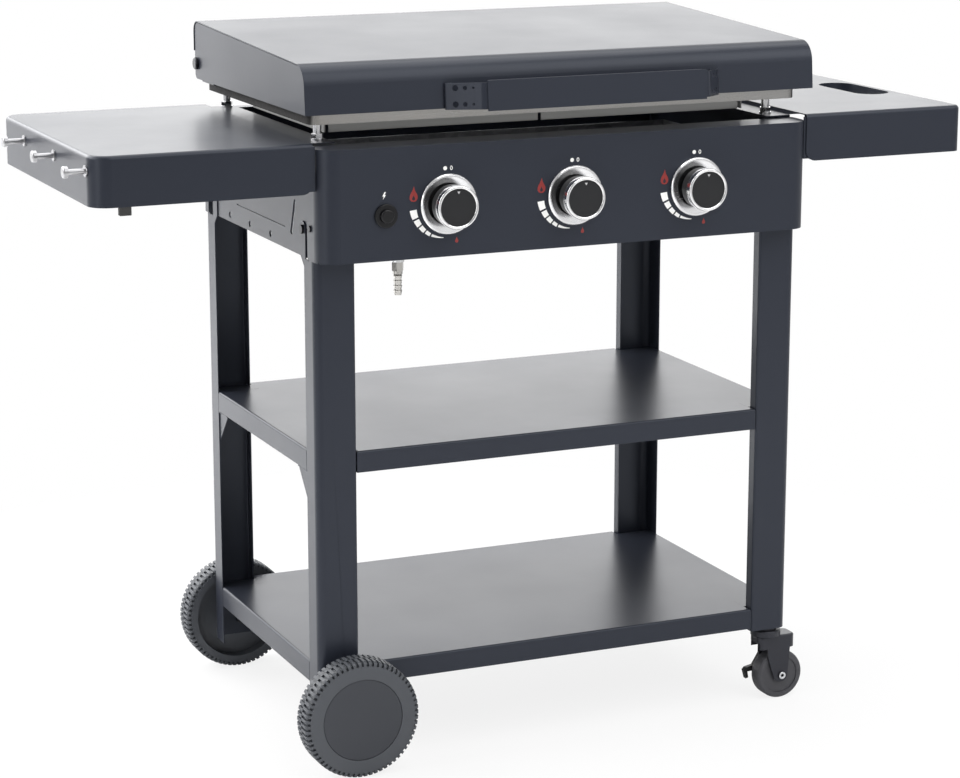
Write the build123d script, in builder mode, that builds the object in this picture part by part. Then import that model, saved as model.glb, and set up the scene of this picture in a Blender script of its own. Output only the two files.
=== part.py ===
"""Gas plancha on a cart: millimetres, +Z up, +X to the right, the control panel faces -Y.

Every piece is drawn about the middle of the four legs, with the floor at Z = 0. At the end the whole
set is moved so that the origin lies on the floor under the middle of the outline.
"""

import os
from math import cos, radians, sin, tan

from build123d import *

os.makedirs("parts", exist_ok=True)

# Sheet metal and fits
sheet = 1.5
running_gap = 0.05
slip_gap = 0.1
hole_gap = 0.2
seam_gap = 0.3
notch_gap = 0.5

# Legs and shelves
cart_width = 660.0
cart_depth = 412.0
leg_web = 52.0
leg_flange = 36.0
leg_lip = 16.0
leg_bend = 10.0
leg_inner_bend = 3.0
leg_top = 687.0
leg_tab = 17.0
leg_tab_back = 11.0
leg_tab_round = 8.0
wheel_leg_bottom = 52.0
bottom_shelf_top = 132.0
middle_shelf_top = 404.0
shelf_lip = 27.0
shelf_bend = 3.0
bracket_drop = 40.0
bracket_reach = 32.0
bracket_ledge = 18.0
bracket_root = 24.0

# Bolts and screws
bolt_radius = 3.0
bolt_head_radius = 5.5
bolt_head_height = 3.0
bolt_length = 10.0
leg_bolt_drop = 10.0
lip_bolt_inset = 10.0
screw_radius = 2.0
screw_head_radius = 4.0
screw_head_height = 2.0
screw_length = 8.0
front_screw_inset = 10.5
rear_screw_inset = 8.0
panel_screw_rise = 39.0

# Burner box, its rises counted from its lower edge
body_drop = 44.0
body_height = 137.0
panel_step = 29.0
panel_corner = 25.0
panel_flange = 14.0
front_return_end = 187.0
rear_corner = 6.0
rear_return_end = 189.5
side_flange = 34.0
side_lift = 3.0
side_floor_flange = 12.0
side_vent_radius = 4.0
side_vent_pitch = 78.0
side_vent_rise = 9.0
side_vent_middle = 32.0
side_slot_y = -130.0
side_slot_rise = 43.0
side_slot_length = 46.0
side_slot_width = 7.0
side_slot_tilt = 19.0
side_seam_rise = 27.0
side_seam_front = 100.0
side_seam_back = 81.0
side_seam_depth = 1.0

# Burners and gas train
tray_half_depth = 160.0
tray_rise = 92.0
control_rise = 64.5
control_pitch = 168.5
burner_radius = 14.0
burner_wall = 1.5
burner_front = 150.0
burner_back = 140.0
burner_pin_radius = 4.0
burner_pin_length = 26.0
venturi_radius = 8.0
venturi_length = 34.0
port_radius = 1.5
port_count = 14
port_pitch = 18.0
port_tilt = 50.0
valve_width = 26.0
valve_height = 34.0
valve_depth = 37.0
valve_jet_radius = 4.0
valve_jet_length = 17.0
spigot_radius = 4.0
spigot_depth = 4.0
manifold_radius = 8.0
manifold_bore = 6.0
manifold_setback = 29.0
manifold_drop = 31.5
manifold_tail = 21.5
inlet_offset = 54.0
inlet_pipe_bore = 5.0
inlet_drop = 7.0
nozzle_spigot = 8.0
nozzle_nut_across = 13.0
nozzle_nut_height = 11.0
nozzle_neck_radius = 6.0
nozzle_neck_height = 6.0
nozzle_bore = 2.5
barb_radius = 5.4
barb_root = 4.2
barb_height = 6.0
barb_count = 4
electrode_radius = 2.5
electrode_length = 54.0
electrode_side = 21.0
electrode_rise = 10.0

# Knobs and igniter, with depths counted forward from the panel's face
stem_radius = 4.0
stem_flat = 2.8
stem_flat_length = 14.0
stem_front = 25.0
stem_back = 29.0
stem_end_gap = 1.0
panel_stem_hole = 10.0
bezel_radius = 37.0
bezel_hole = 12.0
bezel_height = 6.0
bezel_lip = 3.5
bezel_chamfer = 1.5
bezel_floor = 4.0
knob_back = 10.0
knob_shoulder = 25.0
knob_face = 32.0
knob_radius = 25.0
knob_face_radius = 22.5
knob_push = 3.0
ring_radius = 26.5
ring_front = 34.0
ring_round = 1.6
igniter_offset = 80.5
igniter_rise = 55.0
igniter_flange_radius = 14.5
igniter_flange = 3.5
igniter_barrel_radius = 10.2
igniter_barrel_depth = 36.0
igniter_button_radius = 8.5
igniter_button_front = 8.0
igniter_button_depth = 14.0
igniter_wall = 2.0

# Griddle
griddle_front = 198.0
griddle_back = 190.0
griddle_stand = 26.0
griddle_plate_thickness = 4.0
griddle_rim_height = 18.0
griddle_rim_wall = 2.5
griddle_corner = 12.0
chute_half_width = 24.0
chute_length = 34.0
chute_height = 12.0
chute_wall = 2.0
guard_inset = 42.0
guard_front = 132.0
guard_back = 128.0
guard_height = 19.0
guard_slot = 4.0
guard_slot_height = 15.0
foot_radius = 5.2
foot_washer_radius = 7.5
foot_washer_height = 2.0
foot_nut_across = 13.0
foot_nut_height = 6.0
foot_inset = 23.0
foot_front = 160.0
foot_back = 178.0

# Grease cup behind the rear panel
cup_half_width = 48.0
cup_depth = 42.0
cup_height = 70.0
cup_wall = 1.2
cup_drop = 8.0
cup_flange = 12.0
cup_rail_drop = 8.0

# Lid and handle
lid_overhang = 13.0
lid_front = 218.0
lid_back = 202.0
lid_rise = 14.0
lid_front_height = 58.0
lid_back_height = 76.0
lid_back_gap = 12.0
lid_front_bend = 26.0
lid_back_bend = 14.0
lid_end_round = 10.0
lid_end_recess = 1.0
lid_seam = 0.8
lid_lean = 5.0
hinge_inset = 10.0
hinge_rise = 20.0
hinge_pin_radius = 4.0
hinge_head_radius = 8.0
hinge_head_height = 4.0
hinge_plate = 3.0
hinge_plate_front = 40.0
hinge_plate_back = 7.0
hinge_plate_rise = 12.0
hinge_plate_lift = 9.0
hinge_boss_radius = 8.0
hinge_notch = 16.0
lid_ledge_front = 190.0
lid_ledge_back = 140.0
handle_wall = 2.0
handle_rise = 14.5
handle_shift = 20.0
handle_reach = 43.0
handle_splay = 37.0
handle_half_width = 152.0
handle_tab = 14.0
handle_arm_height = 32.0
handle_bend = 10.0
handle_root_bend = 3.0
board_height = 36.5
board_lip = 14.0
arm_hole_spacing = 19.5
arm_holes = ((18.8, 3.8), (31.9, 2.8), (43.1, 1.6))

# Side tables
table_stand = 3.0
left_table_width = 269.5
right_table_width = 232.5
table_front = 220.0
table_back = 190.0
table_rise = 7.0
table_apron = 60.0
table_bend = 5.0
left_table_corner = 24.0
right_table_corner = 12.0
table_inner_round = 14.0
pivot_inset = 14.0
pivot_radius = 4.0
lug_wall = 3.0
lug_length = 28.0
table_bracket_wall = 2.0
table_bracket_height = 22.0
table_bracket_foot = 6.0
table_bracket_top_gap = 2.0
slot_length = 136.0
slot_width = 50.0
slot_margin = 12.0
slot_y = -8.0
slot_collar = 10.0
hook_pitch = 137.0
hook_middle = -58.0
hook_drop = 19.0
hook_radius = 3.5
hook_shank = 22.0
hook_head_radius = 7.0
hook_head = 6.0
bumper_width = 14.0
bumper_depth = 6.0
bumper_height = 10.0
bumper_bite = 4.0
bumper_inset = 39.0

# Big wheels
wheel_radius = 75.0
wheel_width = 36.0
wheel_standoff = 11.0
wheel_hub_radius = 12.0
wheel_round = 5.0
tread_count = 66
tread_depth = 2.6
tread_gap = 3.2
shoulder_depth = 6.0
shoulder_width = 3.5
wheel_recess_inner = 20.0
wheel_recess_outer = 60.0
wheel_recess_depth = 16.0
axle_inset = 39.0
axle_radius = 5.0
axle_head_radius = 10.0
axle_head_height = 5.0
axle_nut_across = 17.0
axle_nut_height = 8.0
cap_radius = 52.0
cap_thickness = 3.0

# Castors, with lengths counted along the trail from the swivel's axis
caster_wheel_radius = 33.0
caster_wheel_width = 22.0
caster_wheel_round = 4.0
caster_recess_inner = 12.0
caster_recess_outer = 25.0
caster_recess_depth = 1.5
caster_shift = 6.0
caster_leg_drop = 4.0
caster_trail = 18.0
caster_axle_radius = 4.0
caster_rivet_ring = 5.0
caster_rivet_bore = 2.2
caster_cheek = 2.5
caster_side_gap = 1.0
caster_head_radius = 20.0
caster_head_top = 97.0
caster_head_height = 8.0
hood_front = 17.0
hood_back = 38.0
hood_height = 9.0
hood_skirt = 9.0
hood_round = 8.0
caster_stem_radius = 5.0
caster_collar_radius = 14.0
caster_plate = 3.0
caster_rivet_radius = 8.0
caster_rivet_height = 2.0
caster_cheek_round = 9.0
cheek_front = 3.0
cheek_knee = 60.0
brake_pivot_x = 8.0
brake_pivot_z = 56.0
brake_pin_radius = 2.5
brake_eye = 5.0
brake_thickness = 6.0
brake_arm = ((-8.0, 34.0), (-17.5, 33.5), (-16.0, 25.0), (-20.0, 24.0), (-23.5, 36.0), (-20.0, 39.5),
             (-9.0, 41.5))

# Places worked out from the sizes above
half_width = cart_width / 2
half_depth = cart_depth / 2
leg_x = half_width - leg_web / 2
leg_y = half_depth - leg_flange / 2
flange_edge = half_depth - leg_flange
tab_back = flange_edge - leg_tab_back
tab_front = tab_back + leg_tab
lip_bolt_y = half_depth - lip_bolt_inset
return_end = {-1: front_return_end, 1: rear_return_end}
axle_x = axle_inset - half_width
caster_leg_bottom = bottom_shelf_top - shelf_lip - caster_leg_drop
caster_x = leg_x + caster_shift
shelf_bolt_drop = shelf_lip / 2
side_plate_inner = half_width - 2 * sheet
side_half_depth = half_depth - leg_bend
leg_bolt_y = tab_back + leg_tab / 2
leg_bolt_z = leg_top - leg_bolt_drop
body_bottom = leg_top - body_drop
body_top = body_bottom + body_height
panel_screw_height = body_bottom + panel_screw_rise
screw_y = {-1: -front_return_end - front_screw_inset, 1: rear_return_end + rear_screw_inset}
foot_seat = body_top + side_lift
panel_half_width = half_width + sheet
panel_front = half_depth + panel_step
panel_inside = panel_front - sheet
rear_reach = half_depth + sheet
tray_bottom = body_bottom + sheet
tray_top = body_bottom + tray_rise
control_height = body_bottom + control_rise
control_xs = {"left": -control_pitch, "center": 0.0, "right": control_pitch}
igniter_x = -control_pitch - igniter_offset
igniter_height = body_bottom + igniter_rise
inlet_x = -control_pitch - inlet_offset
inlet_pipe_bottom = body_bottom - inlet_drop
manifold_y = manifold_setback - panel_front
manifold_z = control_height - manifold_drop
manifold_right = control_pitch + manifold_tail
griddle_half_width = half_width
griddle_bottom = body_top + griddle_stand
griddle_top = griddle_bottom + griddle_plate_thickness
guard_half_width = griddle_half_width - guard_inset
foot_x = half_width - foot_inset
cup_top = body_top - cup_drop
lid_half_width = griddle_half_width + lid_overhang
lid_inside = lid_half_width - lid_end_recess - sheet
lid_bottom = griddle_bottom + lid_rise
lid_top_front = lid_bottom + lid_front_height
lid_top_back = lid_bottom + lid_back_height
lid_back_bottom = lid_bottom + lid_back_gap
hinge_y = lid_back - hinge_inset
hinge_z = lid_bottom + hinge_rise
handle_height = lid_bottom + handle_rise
handle_root = handle_half_width + handle_splay
table_gap = panel_half_width + table_stand
table_top = body_top + table_rise
pivot_x = table_gap + pivot_inset
pivot_z = table_top - table_apron + table_inner_round
cheek_inner = caster_wheel_width / 2 + caster_side_gap
cheek_outer = cheek_inner + caster_cheek
hood_top = caster_head_top - caster_head_height
rivet_top = hood_top - hood_height

FORWARD = Vector(0, -1, 0)
BACKWARD = Vector(0, 1, 0)
UP = Vector(0, 0, 1)
DOWN = Vector(0, 0, -1)
RIGHT = Vector(1, 0, 0)
LEFT = Vector(-1, 0, 0)
ON_END = (Align.CENTER, Align.CENTER, Align.MIN)

pieces = {}


def keep(name, builder):
    """Label a finished piece and hold it until the whole set is placed."""
    builder.part.label = name
    pieces[name] = builder.part


def slab(x, y, z, mode=Mode.ADD):
    """A plate between two values on each axis."""
    middle = ((x[0] + x[1]) / 2, (y[0] + y[1]) / 2, (z[0] + z[1]) / 2)
    with Locations(middle):
        Box(abs(x[1] - x[0]), abs(y[1] - y[0]), abs(z[1] - z[0]), mode=mode)


def rod(start, direction, radius, length, mode=Mode.ADD):
    """A round bar, or a round hole, from a point along a direction."""
    with Locations(Plane(origin=start, z_dir=direction)):
        Cylinder(radius, length, align=ON_END, mode=mode)


def bolt(seat, outward, radius, length, head_radius, head_height):
    """A round-headed fastener whose head stands on its seat and points outward."""
    rod(seat, outward, head_radius, head_height)
    rod(seat, -Vector(*outward), radius, length)


def nut(seat, direction, across, height, bore):
    """A hexagon nut that starts at its seat."""
    with BuildSketch(Plane(origin=seat, z_dir=direction)) as hexagon:
        RegularPolygon(across / 2, 6, major_radius=False)
        Circle(bore, mode=Mode.SUBTRACT)
    extrude(hexagon.sketch, amount=height)


# Legs: folded channels with the web outward, front and back

def leg_plan(side_x, side_y, inset, run_on):
    """A leg's outline with a wide outer and a tight inner bend, drawn in by an inset and run on behind."""
    web_side = 0 if side_y < 0 else -1
    outer, inner = (0, -1) if side_x < 0 else (-1, 0)
    with Locations((side_x * leg_x, side_y * (half_depth - inset))):
        Rectangle(leg_web - 2 * inset, leg_flange - inset + run_on,
                  align=(Align.CENTER, Align.MIN if side_y < 0 else Align.MAX))
    fillet(vertices().group_by(Axis.Y)[web_side].sort_by(Axis.X)[outer], leg_bend - inset)
    fillet(vertices().group_by(Axis.Y)[web_side].sort_by(Axis.X)[inner], leg_inner_bend - inset)


def leg(name, side_x, side_y, bottom):
    """One leg with a wide outer flange, a narrow inner lip, a tab up the box's side and its bolt holes."""
    with BuildPart() as channel:
        with BuildSketch(Plane.XY.offset(bottom)) as outside:
            leg_plan(side_x, side_y, 0, 0)
        extrude(outside.sketch, amount=leg_top - bottom)
        with BuildSketch(Plane.XY.offset(bottom)) as inside:
            leg_plan(side_x, side_y, sheet, sheet)
        extrude(inside.sketch, amount=leg_top - bottom, mode=Mode.SUBTRACT)
        lip_x = side_x * (half_width - leg_web)
        slab((lip_x, lip_x + side_x * 2 * sheet),
             (side_y * (half_depth - leg_lip), side_y * (flange_edge - sheet)), (bottom, leg_top),
             Mode.SUBTRACT)
        with BuildSketch(Plane.YZ.offset(side_x * (half_width - sheet))) as tab:
            with BuildLine():
                Polyline((side_y * flange_edge, body_bottom - leg_tab_back), (side_y * tab_back, body_bottom),
                         (side_y * tab_back, leg_top), (side_y * tab_front, leg_top),
                         (side_y * tab_front, body_bottom - leg_tab_back), close=True)
            make_face()
        extrude(tab.sketch, amount=side_x * sheet)
        slab((side_x * (half_width - 2 * sheet), side_x * half_width),
             (side_y * tab_front, side_y * return_end[side_y]), (body_bottom - sheet, leg_top), Mode.SUBTRACT)
        tops = channel.edges().filter_by(Axis.X).group_by(Axis.Z)[-1].group_by(Axis.Y)
        fillet(tops[-1] + tops[-2] if side_y < 0 else tops[0] + tops[1], leg_tab_round)
        outer_face = (side_x * half_width, side_y * leg_bolt_y, leg_bolt_z)
        rod(outer_face, (-side_x, 0, 0), bolt_radius + hole_gap, 2 * sheet, Mode.SUBTRACT)
        rod((side_x * half_width, screw_y[side_y], panel_screw_height), (-side_x, 0, 0),
            screw_radius + hole_gap, 2 * sheet, Mode.SUBTRACT)
        for shelf_top in (bottom_shelf_top, middle_shelf_top):
            inner_face = (lip_x, side_y * lip_bolt_y, shelf_top - shelf_bolt_drop)
            rod(inner_face, (side_x, 0, 0), bolt_radius + hole_gap, 2 * sheet, Mode.SUBTRACT)
        if side_x < 0:
            rod((axle_x, side_y * half_depth, wheel_radius), (0, -side_y, 0),
                axle_radius + hole_gap, 2 * sheet, Mode.SUBTRACT)
    keep(name, channel)


leg("front_left_leg", -1, -1, wheel_leg_bottom)
leg("rear_left_leg", -1, 1, wheel_leg_bottom)
leg("front_right_leg", 1, -1, caster_leg_bottom)
leg("rear_right_leg", 1, 1, caster_leg_bottom)


# Shelves: folded trays, notched round the legs and bolted to their inner lips

def shelf_plan(inset):
    """The notched outline of a shelf, drawn in by the given inset."""
    Rectangle(cart_width - 2 * inset, cart_depth - 2 * inset)
    notch_x = leg_web + notch_gap + inset
    notch_y = leg_flange + notch_gap + inset
    with GridLocations(cart_width, cart_depth, 2, 2):
        Rectangle(2 * notch_x, 2 * notch_y, mode=Mode.SUBTRACT)


def shelf(name, top):
    """One shelf tray with its down-turned lip."""
    with BuildPart() as tray:
        with BuildSketch(Plane.XY.offset(top)):
            shelf_plan(0)
        extrude(amount=-shelf_lip)
        fillet(tray.edges().group_by(Axis.Z)[-1], shelf_bend)
        with BuildSketch(Plane.XY.offset(top - sheet)):
            shelf_plan(sheet)
        extrude(amount=-shelf_lip, mode=Mode.SUBTRACT)
        for side_x in (-1, 1):
            for side_y in (-1, 1):
                wall = (side_x * (half_width - leg_web), side_y * lip_bolt_y, top - shelf_bolt_drop)
                rod(wall, (-side_x, 0, 0), bolt_radius + hole_gap, 2 * sheet, Mode.SUBTRACT)
    keep(name, tray)


shelf("bottom_shelf", bottom_shelf_top)
shelf("middle_shelf", middle_shelf_top)

with BuildPart() as shelf_brackets:
    ledge_top = middle_shelf_top - shelf_lip
    ledge_bottom = ledge_top - sheet
    for side_x in (-1, 1):
        for side_y in (-1, 1):
            root_y = side_y * (flange_edge + bracket_root)
            edge_y = side_y * flange_edge
            tip_y = side_y * (flange_edge - bracket_reach)
            with BuildSketch(Plane.YZ.offset(side_x * side_plate_inner)):
                with BuildLine():
                    Polyline((root_y, ledge_bottom), (root_y, ledge_top - bracket_drop),
                             (edge_y, ledge_top - bracket_drop), (tip_y, ledge_bottom - sheet),
                             (tip_y, ledge_bottom), close=True)
                make_face()
            extrude(amount=side_x * sheet)
            slab((side_x * half_width, side_x * (half_width - bracket_ledge)),
                 (side_y * (flange_edge - notch_gap), tip_y), (ledge_bottom, ledge_top))
keep("shelf_brackets", shelf_brackets)

with BuildPart() as frame_bolts:
    for side_x in (-1, 1):
        for side_y in (-1, 1):
            leg_seat = (side_x * half_width, side_y * leg_bolt_y, leg_bolt_z)
            bolt(leg_seat, (side_x, 0, 0), bolt_radius, bolt_length, bolt_head_radius, bolt_head_height)
            for shelf_top in (bottom_shelf_top, middle_shelf_top):
                shelf_seat = (side_x * (half_width - leg_web - notch_gap - sheet), side_y * lip_bolt_y,
                              shelf_top - shelf_bolt_drop)
                bolt(shelf_seat, (-side_x, 0, 0), bolt_radius, bolt_length,
                     bolt_head_radius, bolt_head_height)
keep("frame_bolts", frame_bolts)


# Burner box: front and rear panels wrap the corners, side panels stand inside the legs

def wrap_plan(side_y, reach, end, corner, inset, back):
    """The outline of a wrap-round panel, drawn in by an inset and run on past its open side."""
    with Locations((0, side_y * (reach - inset))):
        Rectangle(2 * (panel_half_width - inset), reach - inset - end + back,
                  align=(Align.CENTER, Align.MIN if side_y < 0 else Align.MAX))
    fillet(vertices().group_by(Axis.Y)[0 if side_y < 0 else -1], corner - inset)


def wrap_panel(side_y, reach, end, corner):
    """A folded panel with side returns, a full top flange and a narrow bottom flange."""
    with BuildSketch(Plane.XY.offset(body_bottom)) as outside:
        wrap_plan(side_y, reach, end, corner, 0, 0)
    extrude(outside.sketch, amount=body_top - body_bottom)
    with BuildSketch(Plane.XY.offset(body_bottom + sheet)) as inside:
        wrap_plan(side_y, reach, end, corner, sheet, sheet)
    extrude(inside.sketch, amount=body_top - body_bottom - 2 * sheet, mode=Mode.SUBTRACT)
    flange = min(panel_flange, reach - half_depth)
    slab((-half_width, half_width), (side_y * (reach - flange), side_y * (end - sheet)),
         (body_bottom - sheet, body_bottom + sheet), Mode.SUBTRACT)
    for side_x in (-1, 1):
        for height in (panel_screw_height, pivot_z):
            seat = (side_x * panel_half_width, screw_y[side_y], height)
            rod(seat, (-side_x, 0, 0), screw_radius + hole_gap, 2 * sheet, Mode.SUBTRACT)


with BuildPart() as front_panel:
    wrap_panel(-1, panel_front, front_return_end, panel_corner)
    for control_x in control_xs.values():
        rod((control_x, -panel_front, control_height), BACKWARD, panel_stem_hole, 2 * sheet, Mode.SUBTRACT)
    rod((igniter_x, -panel_front, igniter_height), BACKWARD, igniter_barrel_radius + slip_gap, 2 * sheet,
        Mode.SUBTRACT)
keep("front_panel", front_panel)

with BuildPart() as rear_panel:
    wrap_panel(1, rear_reach, rear_return_end, rear_corner)
    rail_top = cup_top - cup_rail_drop
    for side_x in (-1, 1):
        rail_inner = side_x * (cup_half_width + slip_gap)
        rail_outer = side_x * (cup_half_width + cup_flange + sheet)
        slab((rail_inner, rail_outer), (rear_reach, rear_reach + cup_depth), (rail_top - sheet, rail_top))
        slab((side_x * (cup_half_width + cup_flange), rail_outer), (rear_reach, rear_reach + cup_depth),
             (rail_top - sheet, cup_top))
keep("rear_panel", rear_panel)


def side_panel(name, side):
    """One side of the burner box, with the top flange that carries the griddle's feet."""
    inner = side * side_plate_inner
    outer = side * (half_width - sheet)
    with BuildPart() as panel:
        slab((inner, outer), (-side_half_depth, side_half_depth), (body_bottom, body_top - sheet))
        flange_y = (seam_gap - front_return_end, rear_return_end - seam_gap)
        slab((inner, outer), flange_y, (body_top - sheet, foot_seat))
        slab((outer, side * (half_width - sheet - side_flange)), flange_y, (foot_seat - sheet, foot_seat))
        slab((outer, side * (side_plate_inner - side_floor_flange)), (-tray_half_depth, tray_half_depth),
             (body_bottom, body_bottom + sheet))
        for step in (-1, 0, 1):
            rod((outer, side_vent_middle + step * side_vent_pitch, body_bottom + side_vent_rise),
                (-side, 0, 0), side_vent_radius, 2 * sheet, Mode.SUBTRACT)
        with Locations(Location((outer, side_slot_y, body_bottom + side_slot_rise), (side_slot_tilt, 0, 0))):
            Box(4 * sheet, side_slot_width, side_slot_length, mode=Mode.SUBTRACT)
        seam_z = body_bottom + side_seam_rise
        slab((outer - side * side_seam_depth, outer), (-side_seam_front, side_seam_back),
             (seam_z - sheet / 2, seam_z + sheet / 2), Mode.SUBTRACT)
        for side_y in (-1, 1):
            slab((inner, outer), (side_y * tab_front, side_y * return_end[side_y]),
                 (body_bottom, leg_top - leg_tab_round), Mode.SUBTRACT)
            rod((outer, side_y * leg_bolt_y, leg_bolt_z), (-side, 0, 0), bolt_radius + hole_gap, 2 * sheet,
                Mode.SUBTRACT)
            for height in (panel_screw_height, pivot_z):
                rod((outer, screw_y[side_y], height), (-side, 0, 0), screw_radius + hole_gap, 2 * sheet,
                    Mode.SUBTRACT)
    keep(name, panel)


side_panel("left_side_panel", -1)
side_panel("right_side_panel", 1)

with BuildPart() as panel_screws:
    for side_x in (-1, 1):
        for across_y in screw_y.values():
            low_seat = (side_x * panel_half_width, across_y, panel_screw_height)
            bolt(low_seat, (side_x, 0, 0), screw_radius, screw_length, screw_head_radius, screw_head_height)
            high_seat = (side_x * (panel_half_width + table_bracket_wall), across_y, pivot_z)
            bolt(high_seat, (side_x, 0, 0), screw_radius, screw_length, screw_head_radius,
                 screw_head_height)
keep("panel_screws", panel_screws)


# Burners and gas train

with BuildPart() as burner_tray:
    slab((-side_plate_inner, side_plate_inner), (-tray_half_depth, tray_half_depth), (tray_bottom, tray_top))
    inside_x = side_plate_inner - sheet
    inside_y = tray_half_depth - sheet
    slab((-inside_x, inside_x), (-inside_y, inside_y), (tray_bottom + sheet, tray_top + sheet),
         Mode.SUBTRACT)
    for control_x in control_xs.values():
        rod((control_x, -tray_half_depth, control_height), BACKWARD, venturi_radius + hole_gap, 2 * sheet,
            Mode.SUBTRACT)
        rod((control_x, tray_half_depth, control_height), FORWARD, burner_pin_radius + hole_gap, 2 * sheet,
            Mode.SUBTRACT)
        rod((control_x + electrode_side, -tray_half_depth, control_height + electrode_rise), BACKWARD,
            electrode_radius + hole_gap, 2 * sheet, Mode.SUBTRACT)
keep("burner_tray", burner_tray)


def burner(name, x):
    """One tube burner: a mixing tube in front, flame ports along the top and a locating pin behind."""
    tube_length = burner_front + burner_back
    first_port = (burner_back - burner_front) / 2 - port_pitch * (port_count - 1) / 2
    ports = []
    for step in range(port_count):
        for tilt in (-port_tilt, port_tilt):
            outward = (sin(radians(tilt)), 0, cos(radians(tilt)))
            ports.append(Plane(origin=(x, first_port + step * port_pitch, control_height), z_dir=outward))
    with BuildPart() as tube:
        rod((x, -burner_front, control_height), BACKWARD, burner_radius, tube_length)
        rod((x, -burner_front, control_height), FORWARD, venturi_radius, venturi_length)
        rod((x, burner_back, control_height), BACKWARD, burner_pin_radius, burner_pin_length)
        rod((x, burner_wall - burner_front, control_height), BACKWARD, burner_radius - burner_wall,
            tube_length - 2 * burner_wall, Mode.SUBTRACT)
        rod((x, -burner_front - venturi_length, control_height), BACKWARD, venturi_radius - burner_wall,
            venturi_length + 2 * burner_wall, Mode.SUBTRACT)
        with Locations(*ports):
            Cylinder(port_radius, 2 * burner_radius, align=ON_END, mode=Mode.SUBTRACT)
    keep(name, tube)


for control_name, control_x in control_xs.items():
    burner(f"{control_name}_burner", control_x)

with BuildPart() as gas_valves:
    for control_x in control_xs.values():
        slab((control_x - valve_width / 2, control_x + valve_width / 2),
             (-panel_inside, valve_depth - panel_inside),
             (control_height - valve_height / 2, control_height + valve_height / 2))
        rod((control_x, valve_depth - panel_inside, control_height), BACKWARD, valve_jet_radius,
            valve_jet_length)
        spigot_top = control_height - valve_height / 2
        spigot_length = spigot_top - manifold_z - manifold_radius + spigot_depth
        rod((control_x, manifold_y, spigot_top), DOWN, spigot_radius, spigot_length)
        rod((control_x, -panel_inside, control_height), BACKWARD, stem_radius + running_gap,
            stem_back, Mode.SUBTRACT)
keep("gas_valves", gas_valves)

with BuildPart() as gas_manifold:
    tube_wall = manifold_radius - manifold_bore
    rod((inlet_x - manifold_radius, manifold_y, manifold_z), RIGHT, manifold_radius,
        manifold_right - inlet_x + manifold_radius)
    rod((inlet_x, manifold_y, manifold_z), DOWN, manifold_radius, manifold_z - inlet_pipe_bottom)
    rod((inlet_x, manifold_y, manifold_z), RIGHT, manifold_bore, manifold_right - inlet_x - tube_wall,
        Mode.SUBTRACT)
    rod((inlet_x, manifold_y, manifold_z), DOWN, inlet_pipe_bore, manifold_z - inlet_pipe_bottom,
        Mode.SUBTRACT)
    for control_x in control_xs.values():
        rod((control_x, manifold_y, manifold_z), UP, spigot_radius + slip_gap, manifold_radius,
            Mode.SUBTRACT)
keep("gas_manifold", gas_manifold)

with BuildPart() as gas_inlet_nozzle:
    inlet_seat = Vector(inlet_x, manifold_y, inlet_pipe_bottom)
    nut(inlet_seat, DOWN, nozzle_nut_across, nozzle_nut_height, nozzle_bore)
    rod(inlet_seat, UP, inlet_pipe_bore - slip_gap, nozzle_spigot)
    with BuildSketch(Plane.XZ.offset(-manifold_y)):
        neck_top = inlet_pipe_bottom - nozzle_nut_height
        barb_top = neck_top - nozzle_neck_height
        with BuildLine():
            outline = [(inlet_x, neck_top), (inlet_x + nozzle_neck_radius, neck_top),
                       (inlet_x + nozzle_neck_radius, barb_top + barb_root / 2),
                       (inlet_x + barb_root, barb_top)]
            for step in range(barb_count):
                shoulder = barb_top - step * barb_height
                outline.append((inlet_x + barb_radius, shoulder))
                outline.append((inlet_x + barb_root, shoulder - barb_height))
            outline.append((inlet_x, outline[-1][1]))
            Polyline(*outline, close=True)
        make_face()
    revolve(axis=Axis((inlet_x, manifold_y, 0), (0, 0, 1)))
    rod(inlet_seat + UP * nozzle_spigot, DOWN, nozzle_bore, inlet_pipe_bottom, Mode.SUBTRACT)
keep("gas_inlet_nozzle", gas_inlet_nozzle)

with BuildPart() as igniter_electrodes:
    for control_x in control_xs.values():
        rod((control_x + electrode_side, -tray_half_depth - electrode_length / 4,
             control_height + electrode_rise), BACKWARD, electrode_radius, electrode_length)
keep("igniter_electrodes", igniter_electrodes)


# Controls on the panel

with BuildPart() as knob_bezels:
    for control_x in control_xs.values():
        with BuildSketch(Plane.XY.offset(control_height)):
            with BuildLine():
                Polyline((control_x + bezel_hole, -panel_front), (control_x + bezel_radius, -panel_front),
                         (control_x + bezel_radius, bezel_chamfer - panel_front - bezel_height),
                         (control_x + bezel_radius - bezel_chamfer, -panel_front - bezel_height),
                         (control_x + bezel_radius - bezel_lip, -panel_front - bezel_height),
                         (control_x + bezel_hole, -panel_front - bezel_floor), close=True)
            make_face()
        revolve(axis=Axis((control_x, 0, control_height), (0, 1, 0)))
keep("knob_bezels", knob_bezels)


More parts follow.
